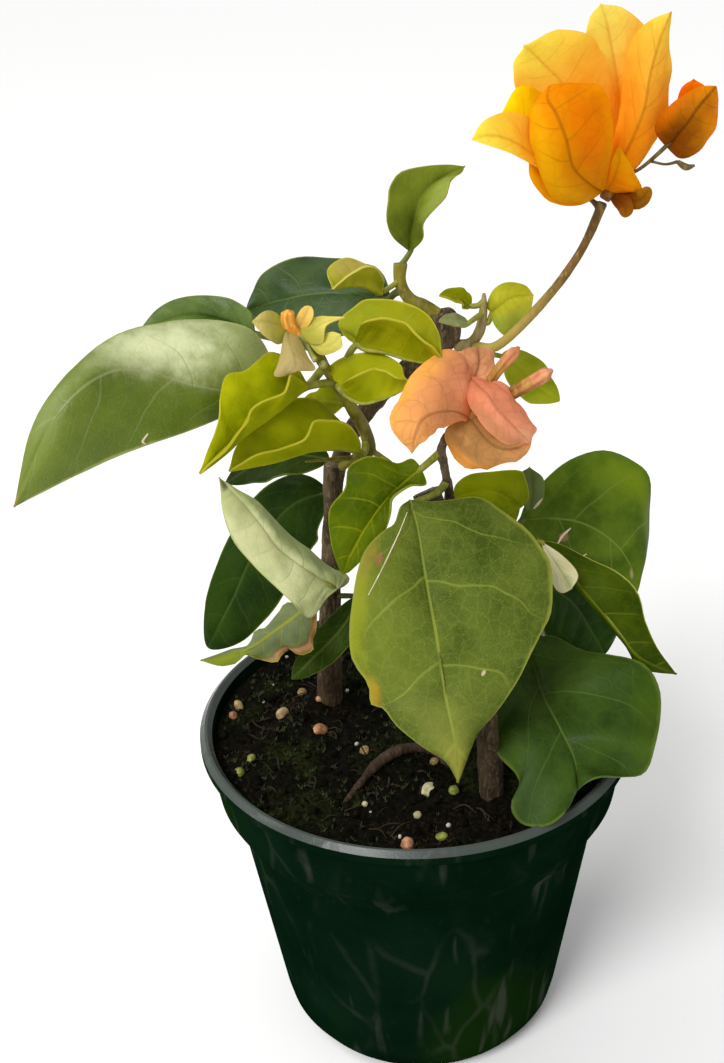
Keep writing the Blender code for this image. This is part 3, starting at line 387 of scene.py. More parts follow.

# What single leaves add: their own colours, veins, and tinted places given as
# (u, v, half width, half length, colour, strength, softness) on the blade's map; a few
# tinted places are painted sheen or painted shade, as marked
leafDetails = {
    "leaf_left_large": {
        "deep": (0.105, 0.155, 0.008), "light": (0.18, 0.24, 0.016), "vein": (0.42, 0.48, 0.22),
        "veins": {"count": 4.2, "start": 0.2, "shift": 0.3, "arch": 0.3}, "shine": 0.45, "depth": 0.2,
        # of these tints the second is painted shade near the base of the lower half, and the third and
        # fourth are a painted sheen on the upper half
        "tints": [(0.2, 0.55, 0.4, 0.5, (0.11, 0.18, 0.004), 0.6, 0.9),
            (0.15, 0.16, 0.34, 0.22, (0.05, 0.085, 0.003), 0.8, 0.9),
            (0.86, 0.24, 0.52, 0.34, (0.4, 0.46, 0.17), 0.8, 0.9),
            (0.76, 0.48, 0.4, 0.27, (0.94, 0.98, 0.6), 0.95, 0.95),
            (0.75, 0.76, 0.3, 0.24, (0.26, 0.33, 0.07), 0.5, 0.9),
            (0.5, 1, 0.6, 0.03, (0.42, 0.2, 0.07), 0.95, 0.5),
            (0.5, 0.02, 0.1, 0.02, (0.42, 0.3, 0.1), 0.5, 0.5)],
        "marks": [([(0.5, -0.84), (0.515, -0.92), (0.505, -0.97)], 0.35)],
    },
    "leaf_left_behind": {"deep": (0.05, 0.09, 0.01), "light": (0.1, 0.16, 0.025), "shine": 0.25},
    "leaf_top_dark": {
        "deep": (0.02, 0.048, 0.008), "light": (0.044, 0.08, 0.016), "shine": 0.2,
        "veins": {"count": 4.5, "start": 0.1, "shift": 0.45, "arch": 0.38},
    },
    "leaf_top_small": {
        "deep": (0.36, 0.39, 0.012), "light": (0.7, 0.65, 0.05), "edge": (0.72, 0.6, 0.16),
        "tints": [(0.85, 0.5, 0.25, 0.4, (0.62, 0.46, 0.16), 0.7, 0.8),
            (0.15, 0.15, 0.4, 0.3, (0.24, 0.28, 0.004), 0.7, 0.9)],
    },
    "leaf_centre_upper": {
        "deep": (0.225, 0.235, 0.001), "light": (0.36, 0.35, 0.003),
        "tints": [(0.95, 0.85, 0.3, 0.2, (0.62, 0.4, 0.004), 0.7, 0.9),
            (0.12, 0.3, 0.3, 0.5, (0.32, 0.38, 0.02), 0.5, 0.9)],
    },
    "leaf_centre_lower": {"deep": (0.25, 0.28, 0.001), "light": (0.39, 0.4, 0.003)},
    "leaf_left_folded": {
        "deep": (0.28, 0.32, 0.001), "light": (0.53, 0.55, 0.003),
        "tints": [(0.4, 0.8, 0.6, 0.3, (0.15, 0.18, 0.001), 0.6, 0.9)],
    },
    "leaf_left_low": {"deep": (0.23, 0.27, 0.001), "light": (0.4, 0.43, 0.003)},
    "leaf_centre_green": {
        "deep": (0.046, 0.092, 0.001), "light": (0.105, 0.162, 0.002), "edge": (0.34, 0.38, 0.03),
        "tints": [(0, 0.3, 0.07, 0.3, (0.52, 0.58, 0.2), 0.85, 0.6)],
    },
    "leaf_front_large": {
        "vein": (0.3, 0.36, 0.055), "veins": {"count": 3.4, "start": 0.93, "shift": 0.05, "arch": 0.36},
        "dust": 0.34, "netShare": 0.24, "depth": 0.5,
        "tints": [(0.82, 0.45, 0.34, 0.46, (0.19, 0.235, 0.026), 0.65, 0.9),
            (0.98, 0.42, 0.12, 0.3, (0.34, 0.36, 0.014), 0.7, 0.9),
            (0.99, 0.66, 0.1, 0.1, (0.5, 0.27, 0.015), 0.65, 0.8),
            (0.96, 0.3, 0.07, 0.09, (0.42, 0.22, 0.06), 0.35, 0.7),
            (0.5, 0.95, 0.6, 0.13, (0.42, 0.35, 0.05), 0.7, 0.9),
            (0.6, 0.84, 0.5, 0.2, (0.24, 0.26, 0.05), 0.6, 0.9),
            (0.88, 0.29, 0.03, 0.032, (0.34, 0.13, 0.07), 0.85, 0.4),
            (0.27, 0.68, 0.016, 0.012, (0.72, 0.55, 0.4), 0.9, 0.4)],
        "marks": [([(0.07, 0.54), (0.17, 0.66), (0.29, 0.65), (0.36, 0.73), (0.41, 0.81)], 0.18)],
    },
    "leaf_right_large": {
        "deep": (0.05, 0.098, 0.004), "light": (0.118, 0.19, 0.01), "vein": (0.2, 0.28, 0.05),
        "veins": {"count": 3.2, "start": 0.9, "shift": 0.3, "arch": 0.42}, "edge": (0.1, 0.16, 0.012),
        "tints": [(0.12, 0.62, 0.14, 0.3, (0.18, 0.25, 0.008), 0.7, 0.9),
            (0.69, 0.33, 0.06, 0.04, (0.34, 0.17, 0.1), 0.85, 0.5),
            (0.57, 0.81, 0.1, 0.04, (0.42, 0.34, 0.15), 0.8, 0.6),
            (0.03, 0.17, 0.08, 0.02, (0.6, 0.58, 0.38), 0.8, 0.5)],
        "marks": [([(0.32, 0.6), (0.32, 0.37), (0.34, 0.16)], 0.45),
            ([(0.41, 0.54), (0.45, 0.59), (0.48, 0.58)], 0.35), ([(0.46, 0.63), (0.48, 0.47)], 0.3)],
    },
    "leaf_right_folded": {
        "deep": (0.022, 0.044, 0.001), "light": (0.055, 0.088, 0.001), "edge": (0.42, 0.44, 0.08),
        "vein": (0.16, 0.2, 0.01),
    },
    "leaf_right_pale": {
        "deep": (0.62, 0.58, 0.3), "light": (0.86, 0.8, 0.5), "glow": 0.2, "depth": 0.1,
        "edge": (0.5, 0.26, 0.12),
        "tints": [(0.6, 0.95, 0.6, 0.35, (0.4, 0.48, 0.16), 0.8, 0.9)],
    },
    "leaf_middle_shaded": {
        "deep": (0.11, 0.15, 0.05), "light": (0.19, 0.25, 0.09),
        "marks": [([(0.15, 0.75), (0.4, 0.92)], 0.35)],
    },
    "leaf_right_shaded": {
        "deep": (0.009, 0.036, 0.001), "light": (0.018, 0.06, 0.001), "depth": 0.2, "shine": 0.04,
    },
    "leaf_right_lower": {
        "deep": (0.02, 0.047, 0.005), "light": (0.045, 0.088, 0.01), "vein": (0.11, 0.17, 0.03),
        "veins": {"count": 3.2, "start": 0.85, "shift": 0.2, "arch": 0.36}, "shine": 0.07,
        "edge": (0.1, 0.15, 0.02),
        # the first tint is a painted grey sheen on one lobe
        "tints": [(0.85, 0.62, 0.2, 0.28, (0.06, 0.105, 0.035), 0.6, 0.9),
            (0.06, 0.55, 0.1, 0.3, (0.05, 0.098, 0.003), 0.7, 0.9),
            (0.35, 0.03, 0.2, 0.05, (0.2, 0.14, 0.04), 0.8, 0.7)],
    },
    "leaf_left_pale": {
        "deep": (0.6, 0.64, 0.28), "light": (0.94, 0.95, 0.52), "edge": (0.46, 0.5, 0.16), "shine": 0.4,
        "depth": 0.15,
        # the second tint darkens the upper half of the fold: painted shade
        "tints": [(0.5, 0.98, 0.7, 0.05, (0.1, 0.09, 0.03), 0.9, 0.6),
            (0.92, 0.45, 0.42, 0.62, (0.27, 0.34, 0.13), 0.85, 0.7),
            (0.45, 0.04, 0.7, 0.24, (0.24, 0.3, 0.09), 0.8, 0.9)],
    },
    "leaf_left_yellow": {
        "deep": (0.13, 0.17, 0.075), "light": (0.22, 0.27, 0.14),
        "relief": {"crumple": 1.5, "crumpleSize": 4},
        "tints": [(0, 0.36, 0.15, 0.44, (0.56, 0.3, 0.15), 0.95, 0.35),
            (0, 0.1, 0.36, 0.16, (0.36, 0.19, 0.08), 0.9, 0.5),
            (0.14, 0.4, 0.03, 0.36, (0.24, 0.11, 0.04), 0.7, 0.6),
            (0.02, 0.42, 0.04, 0.3, (0.26, 0.12, 0.045), 0.7, 0.8),
            (0.3, 0.85, 0.6, 0.32, (0.3, 0.38, 0.02), 0.85, 0.8)],
    },
    "leaf_left_dark": {"deep": (0.008, 0.026, 0.001), "light": (0.019, 0.047, 0.001), "depth": 0.12},
    "leaf_left_sliver": {"deep": (0.014, 0.03, 0.002), "light": (0.028, 0.05, 0.005)},
    "leaf_trunk_dark": {"deep": (0.014, 0.032, 0.001), "light": (0.03, 0.058, 0.002)},
    "leaf_middle_fresh": {"deep": (0.16, 0.22, 0.001), "light": (0.32, 0.38, 0.002)},
    "leaf_knob_back": {"deep": (0.2, 0.26, 0.006), "light": (0.38, 0.42, 0.02)},
    "leaf_knob_right": {
        "deep": (0.34, 0.36, 0.008), "light": (0.62, 0.58, 0.04),
        "tints": [(0.85, 0.4, 0.3, 0.6, (0.3, 0.42, 0.08), 0.6, 0.9)],
    },
    "leaf_upright": {
        "deep": (0.095, 0.135, 0.008), "light": (0.19, 0.24, 0.018), "edge": (0.4, 0.38, 0.07),
        "tints": [(0.9, 0.65, 0.35, 0.45, (0.34, 0.4, 0.08), 0.7, 0.8)],
    },
}


def bladeLines(tree, veins, fine=3.0):
    # the blade's map, its share from the base and distance from the midrib, then the lines:
    # midrib, side veins and the net between them, each 0 to 1
    place = put(tree, "UVMap", uv_map="blade").outputs[0]
    u, v, _ = put(tree, "SeparateXYZ", {0: place}).outputs
    away = sums(tree, "ABSOLUTE", sums(tree, "MULTIPLY_ADD", u, 2.0, -1.0))
    measure = put(tree, "UVMap", uv_map="measure").outputs[0]       # in centimetres
    wander = centred(tree, grain(tree, measure, 0.8, 1.0), 0.08)
    reach = times(tree, sums(tree, "POWER", away, 1.15), veins["arch"])
    start = sums(tree, "DIVIDE", sums(tree, "SUBTRACT", sums(tree, "ADD", v, wander), reach),
                 sums(tree, "SUBTRACT", 1.0, reach))
    count = sums(tree, "MULTIPLY_ADD", start, veins["count"], veins["start"])
    count = plus(tree, count, (sums(tree, "GREATER_THAN", u, 0.5), veins["shift"]))
    thin = veins["count"] / 4
    side = ranged(tree, sums(tree, "PINGPONG", count, 0.5), 0.006 * thin, 0.036 * thin, 1.0, 0.0)
    side = times(tree, side, ranged(tree, away, 0.55, 1.0, 1.0, 0.15))
    fromRib = sums(tree, "ABSOLUTE", put(tree, "SeparateXYZ", {0: measure}).outputs[0])
    rib = times(tree, ranged(tree, fromRib, 0.022, 0.055, 1.0, 0.0),
                ranged(tree, v, 0.75, 1.0, 1.0, 0.3))
    net = ranged(tree, cells(tree, measure, fine), 0.0, 0.11, 1.0, 0.0)
    return place, v, away, rib, side, net


def tinted(tree, colour, place, tints, ragged):
    # ragged spots on the blade's map: middle, half sizes, colour, strength, softness
    for u, v, wide, high, tint, strength, soft in tints:
        offset = put(tree, "VectorMath", {0: place, 1: (u, v, 0)}, operation="SUBTRACT").outputs[0]
        scaled = put(tree, "VectorMath", {0: offset, 1: (1 / wide, 1 / high, 0)},
                     operation="MULTIPLY").outputs[0]
        far = put(tree, "VectorMath", {0: scaled}, operation="LENGTH").outputs["Value"]
        far = sums(tree, "ADD", far, centred(tree, ragged, 0.7))
        colour = mixed(tree, ranged(tree, far, 1 - soft, 1.0, strength, 0.0), colour, tint)
    return colour


def leafSkin(nodeName, look):
    material, tree = newSkin(camelName(nodeName) + "Skin")
    place, v, away, rib, side, net = bladeLines(tree, {**leafVeins, **look.get("veins", {})})
    where = objectPlace(tree)
    cloudy = grain(tree, where, 90, 3)
    ragged = grain(tree, where, 260, 4)
    dusty = grain(tree, where, 2600, 2, 0.7)
    colour = mixed(tree, ranged(tree, cloudy, 0.32, 0.68), look["deep"], look["light"])
    colour = laid(tree, colour, (ranged(tree, ragged, 0.45, 0.75), 0.35, look["light"]))
    colour = tinted(tree, colour, place, look.get("tints", []), ragged)
    depth = look.get("depth", 0.4)
    rim = ranged(tree, sums(tree, "ADD", away, centred(tree, ragged, 0.06)), 0.95, 0.99)
    colour = laid(
        tree, colour,
        (net, depth * look.get("netShare", 0.18), look["vein"]),
        (side, depth, look["vein"]),
        (rib, depth + 0.25, look["vein"]),
        (rim, 0.8, look["edge"]),
        (ranged(tree, dusty, 0.5, 0.7), look.get("dust", 0.16), look["vein"]),
    )
    height = plus(tree, times(tree, side, -0.5), (net, -0.22), (dusty, 0.25), (cloudy, 0.8))
    rough = ranged(tree, cloudy, 0.3, 0.7, *look["rough"])
    finished(tree, colour, rough, height, 0.5, 0.0003, look.get("shine", 0.05))
    lit(tree, mixed(tree, 0.6, colour, look["glowTint"]), look["glow"])
    return material


def underSkin(name, look):
    # the paler back of a leaf, with its net of veins raised
    material, tree = newSkin(name)
    place, v, away, rib, side, net = bladeLines(tree, leafVeins)
    cloudy = grain(tree, objectPlace(tree), 120, 4)
    pale = tuple(channel * 1.5 + 0.02 for channel in look["under"])
    colour = mixed(tree, ranged(tree, cloudy, 0.3, 0.7), look["under"], pale)
    lines = sums(tree, "MAXIMUM", rib, sums(tree, "MAXIMUM", side, times(tree, net, 0.4)))
    colour = laid(tree, colour, (lines, 0.5, look["edge"]))
    finished(tree, colour, ranged(tree, cloudy, 0.3, 0.7, 0.5, 0.68), lines, 0.5, 0.0004)
    lit(tree, mixed(tree, 0.6, colour, look["glowTint"]), look["glow"])
    return material


def stalkSkin(name, colour, darker, spots, foot=None):
    # green bark of shoots and leaf stalks, with fine ribs and small pores
    material, tree = newSkin(name)
    ribs = grain(tree, objectPlace(tree, (1, 1, 0.16)), 900, 3)
    cloudy = grain(tree, objectPlace(tree), 160, 3)
    pores = ranged(tree, cells(tree, objectPlace(tree, (1, 1, 0.5)), 700, "F1"), 0.12, 0.3, 1.0, 0.0)
    base = mixed(tree, ranged(tree, cloudy, 0.35, 0.65), darker, colour)
    base = laid(tree, base, (ranged(tree, ribs, 0.45, 0.7), 0.5, spots), (pores, 0.45, spots))
    if foot:
        # another colour towards the lower end
        low, high, footColour = foot
        base = mixed(tree, ranged(tree, objectHeight(tree), low, high, 0.8, 0.0), base, footColour)
    rough = ranged(tree, ribs, 0.3, 0.7, 0.45, 0.7)
    finished(tree, base, rough, plus(tree, ribs, (pores, 0.5)), 0.6, 0.0003, 0.2)
    return material


def bractSkin(name, look):
    material, tree = newSkin(name)
    place, v, away, rib, side, net = bladeLines(tree, bractVeins, look.get("net", 2.6))
    where = objectPlace(tree)
    cloudy = grain(tree, where, 110, 3)
    ragged = grain(tree, where, 320, 4)
    fibre = grain(tree, where, 1500, 3, 0.65)
    rise = sums(tree, "ADD", v, centred(tree, cloudy, 0.5))
    colour = mixed(tree, ranged(tree, rise, 0.2, 1.0), look["base"], look["tip"])
    colour = laid(tree, colour, (ranged(tree, ragged, 0.5, 0.75), 0.4, look["blotch"]))
    colour = tinted(tree, colour, place, look.get("tints", []), ragged)
    depth = look["depth"]
    colour = laid(
        tree, colour,
        (net, depth * look.get("netShare", 0.14), look["vein"]),
        (side, depth * 0.5, look["vein"]),
        (rib, depth, look["vein"]),
    )
    height = plus(tree, times(tree, net, 0.25), (side, 0.3), (ragged, 1.2), (fibre, 0.4))
    finished(tree, colour, ranged(tree, fibre, 0.3, 0.7, 0.5, 0.68), height, 0.45, 0.0004, 0.05)
    lit(tree, colour, look["glow"])
    return material


# Stems: centre line, and the radius at each of its points

surfaceRoot = {
    "points": [(-19, -31, 88.5), (-15.5, -27, 90.6), (-10, -19.5, 92), (-3, -14.5, 92.2), (4, -14.5, 91.2),
        (8, -18, 88)],
    "radii": [0.8, 0.9, 1.3, 1.5, 1.4, 1.1],
}

shootBuild = {"voxel": 0.28, "slot": "green_shoot", "cuts": []}     # unless a stem says otherwise
# Each stem: the size of its smoothing voxel, its bark relief, its cut faces (middle, direction,
# reach), and its limbs, each a centre line and the radius at each of its points
stemPieces = {
    "trunk_left": {
        "voxel": 0.45, "rough": 0.42, "slot": "bark", "skin": "bark",
        "cuts": [((-18.3, 6.3, 164), (0.2, -0.1, 1), 3.2)],
        "limbs": [
            ([(-22.7, 11.5, 46), (-22.6, 11.3, 88), (-21.8, 10.8, 108), (-20.8, 10, 129), (-19.5, 8, 147),
              (-18.3, 6.3, 164)], [3.6, 3.6, 3.1, 2.7, 2.3, 2.5]),
            ([(-18.8, 7, 157), (-16, 9, 166), (-11, 11, 174), (-4, 11, 182), (4, 9.5, 189.5),
              (9.3, 8, 195.5), (8.8, 8, 201.5)], [2.2, 2.2, 2.3, 2.6, 3.1, 3.8, 3.3]),
        ],
    },
    "trunk_right": {
        "voxel": 0.42, "rough": 0.36, "slot": "bark", "skin": "bark",
        "cuts": [((4, -1, 159), (-0.35, 0.35, 0.86), 4.2)],
        "limbs": [
            ([(17.5, -33, 46), (17.5, -32, 88), (16.5, -24, 108), (14.5, -16, 124), (10.5, -8, 142),
              (4, -1, 159)], [3.2, 3.2, 3, 2.9, 3, 3.6]),
            ([(7.5, -2.5, 150), (9, -5, 156), (9.3, -8, 161), (8, -12, 170), (7, -16, 177), (9, -20, 183),
              (13, -22, 187)], [1.6, 1.35, 1.2, 1.15, 1.1, 1, 1]),
            ([(12, -7, 135), (17, -3, 138), (23, 1, 140), (28, 4, 141)], [1.8, 1.5, 1.2, 1]),
        ],
    },
    "shoot_left": {
        "rough": 0.12, "skin": "olive",
        "limbs": [
            ([(-16.5, 5, 163.5), (-13, 2.5, 167), (-9.5, 0.5, 170), (-10.5, -1, 176), (-12.9, -4, 182.4),
              (-16, -6, 189), (-19, -8, 195.2), (-22, -9, 200.5)],
             [1.2, 1.2, 1.7, 1.6, 1.5, 1.4, 1.2, 0.9]),
            ([(-10, 0.5, 170.5), (-6.5, -1, 168.5), (-4, -1.5, 166.8)], [0.8, 0.7, 0.5]),
            ([(-13, 2.5, 167), (-19, -1, 168.5), (-25, -4, 169.5)], [0.8, 0.55, 0.3]),
        ],
    },
    "shoot_top": {
        "rough": 0.14, "skin": "olive",
        "cuts": [((-0.4, 12, 212.5), (0, 0.1, 1), 2)],
        "limbs": [
            ([(8, 8, 200.5), (5, 8.5, 202.5), (1.4, 9.5, 204.5), (-0.6, 11, 208), (-0.4, 12, 212.5)],
             [1.9, 1.8, 1.6, 1.5, 1.6]),
        ],
    },
    "shoot_right": {
        "rough": 0.12, "skin": "tan",
        "limbs": [
            ([(12, 7.5, 193), (15.5, 6, 194), (17.6, 5, 197.5), (18.4, 4, 203), (18.5, 4, 207)],
             [1.5, 1.4, 1.25, 1, 0.5]),
        ],
    },
    "flower_stem": {
        "rough": 0.08, "skin": "brown",
        "limbs": [
            ([(16.4, 4.5, 193.6), (21.9, 0, 195.8), (31.9, -2, 206.8), (39.6, -2, 217.7),
              (44.3, -2, 228.8)], [1.3, 1.15, 1.1, 1, 1.15]),
            ([(43.6, -2, 227.5), (42.2, -2, 229), (41, -2, 230)], [0.8, 0.65, 0.5]),
        ],
    },
}


def barkSkin(name, dark, mid, pale):
    # grey-brown bark: long cracks, flaking patches and small pale pores, darker near the peat
    material, tree = newSkin(name)
    cracks = grain(tree, objectPlace(tree, (1, 1, 0.22)), 1100, 5, 0.65)
    flakes = cells(tree, objectPlace(tree, (1, 1, 0.4)), 420)
    cloudy = grain(tree, objectPlace(tree), 140, 4)
    pores = ranged(tree, cells(tree, objectPlace(tree, (0.6, 0.6, 1)), 480, "F1"), 0.1, 0.24, 1.0, 0.0)
    colour = mixed(tree, ranged(tree, cloudy, 0.35, 0.65), dark, mid)
    colour = laid(tree, colour, (ranged(tree, cracks, 0.48, 0.68), 0.75, pale))
    colour = mixed(tree, ranged(tree, flakes, 0.0, 0.05, 0.25, 0.0), colour, dark)
    colour = laid(tree, colour, (pores, 0.4, pale))
    # darker and redder towards the peat
    footDarkening = ranged(tree, objectHeight(tree), 0.088, 0.122, 0.55, 0.0)
    colour = mixed(tree, footDarkening, colour, (0.026, 0.012, 0.006))
    height = plus(tree, cracks, (ranged(tree, flakes, 0.0, 0.08), 0.2))
    finished(tree, colour, ranged(tree, cracks, 0.3, 0.7, 0.72, 0.92), height, 0.9, 0.0006, 0.2)
    return material


def cutSkin(name, pale, dark):
    # the dried end grain of a pruned stem: rings and drying cracks
    material, tree = newSkin(name)
    cloudy = grain(tree, objectPlace(tree), 500, 4)
    rings = grain(tree, objectPlace(tree), 1600, 3)
    colour = mixed(tree, ranged(tree, cloudy, 0.35, 0.65), dark, pale)
    colour = laid(tree, colour, (ranged(tree, rings, 0.5, 0.7), 0.4, dark))
    finished(tree, colour, ranged(tree, rings, 0.3, 0.7, 0.75, 0.9), rings, 0.6, 0.0003)
    return material


def remeshed(name, bm, voxel):
    # limbs that cross become one skin with soft joins
    bm = modified(name, bm, "REMESH", mode="VOXEL", voxel_size=voxel * mm)
    for _ in range(2):
        bmesh.ops.smooth_vert(bm, verts=bm.verts, factor=0.5, use_axis_x=True, use_axis_y=True,
                              use_axis_z=True)
    bm.normal_update()
    return bm


def roughen(bm, height):
    # raised bark in long strips, with finer grain on it
    for vert in bm.verts:
        place = vert.co / mm
        long = Vector((place.x, place.y, place.z * 0.22))
        rise = 0.65 * plainNoise(long, 1.9, 4) + 0.35 * plainNoise(place, 5.5, 2)
        vert.co += vert.normal * rise * height * mm


def stemPiece(nodeName, build, skins):
    bm = bmesh.new()
    for points, radii in build["limbs"]:
        addTube(bm, points, radii, spans=8, resolution=5, knobby=0.09)
    bm = remeshed(nodeName, bm, build["voxel"])
    roughen(bm, build["rough"])
    for face in bm.faces:
        middle = face.calc_center_median() / mm
        for place, axis, reach in build["cuts"]:
            facing = face.normal.dot(Vector(axis).normalized())
            if facing > 0.72 and (middle - Vector(place)).length < reach:
                face.material_index = 1
    piece = meshPiece(camelName(nodeName), bm, [skins[build["skin"]], skins["cut"]])
    settle(piece, build["slot"], nodeName)


def makeStems():
    skins = {
        "bark": barkSkin("barkSkin", (0.032, 0.020, 0.010), (0.110, 0.078, 0.036),
                         (0.230, 0.170, 0.100)),
        "olive": stalkSkin("oliveShootSkin", (0.21, 0.185, 0.014), (0.110, 0.095, 0.010),
                           (0.30, 0.26, 0.07)),
        "tan": stalkSkin("tanShootSkin", (0.30, 0.24, 0.085), (0.17, 0.13, 0.035), (0.44, 0.38, 0.24)),
        "brown": stalkSkin("flowerStemSkin", (0.17, 0.090, 0.016), (0.080, 0.040, 0.008),
                           (0.34, 0.22, 0.07), (0.197, 0.216, (0.42, 0.32, 0.07))),
        "cut": cutSkin("cutWoodSkin", (0.24, 0.17, 0.10), (0.10, 0.065, 0.035)),
    }
    for nodeName, build in stemPieces.items():
        stemPiece(nodeName, {**shootBuild, **build}, skins)
    bm = bmesh.new()
    addTube(bm, surfaceRoot["points"], surfaceRoot["radii"], spans=10, resolution=5, knobby=0.18)
    bm = remeshed("surface_root", bm, 0.3)
    roughen(bm, 0.25)
    rootSkin = barkSkin("rootSkin", (0.030, 0.018, 0.010), (0.085, 0.055, 0.032), (0.190, 0.130, 0.085))
    settle(meshPiece("surfaceRoot", bm, [rootSkin]), "root_bark", "surface_root")
    print("stems:", len(stemPieces) + 1)


makeStems()


# Leaves: the stalk from its stem to the blade, the midrib from base to tip, and both margins
# between the midrib's ends. A leaf without drawn margins has the way its upper side faces, its
# half width, and how far each half folds up from flat, in degrees

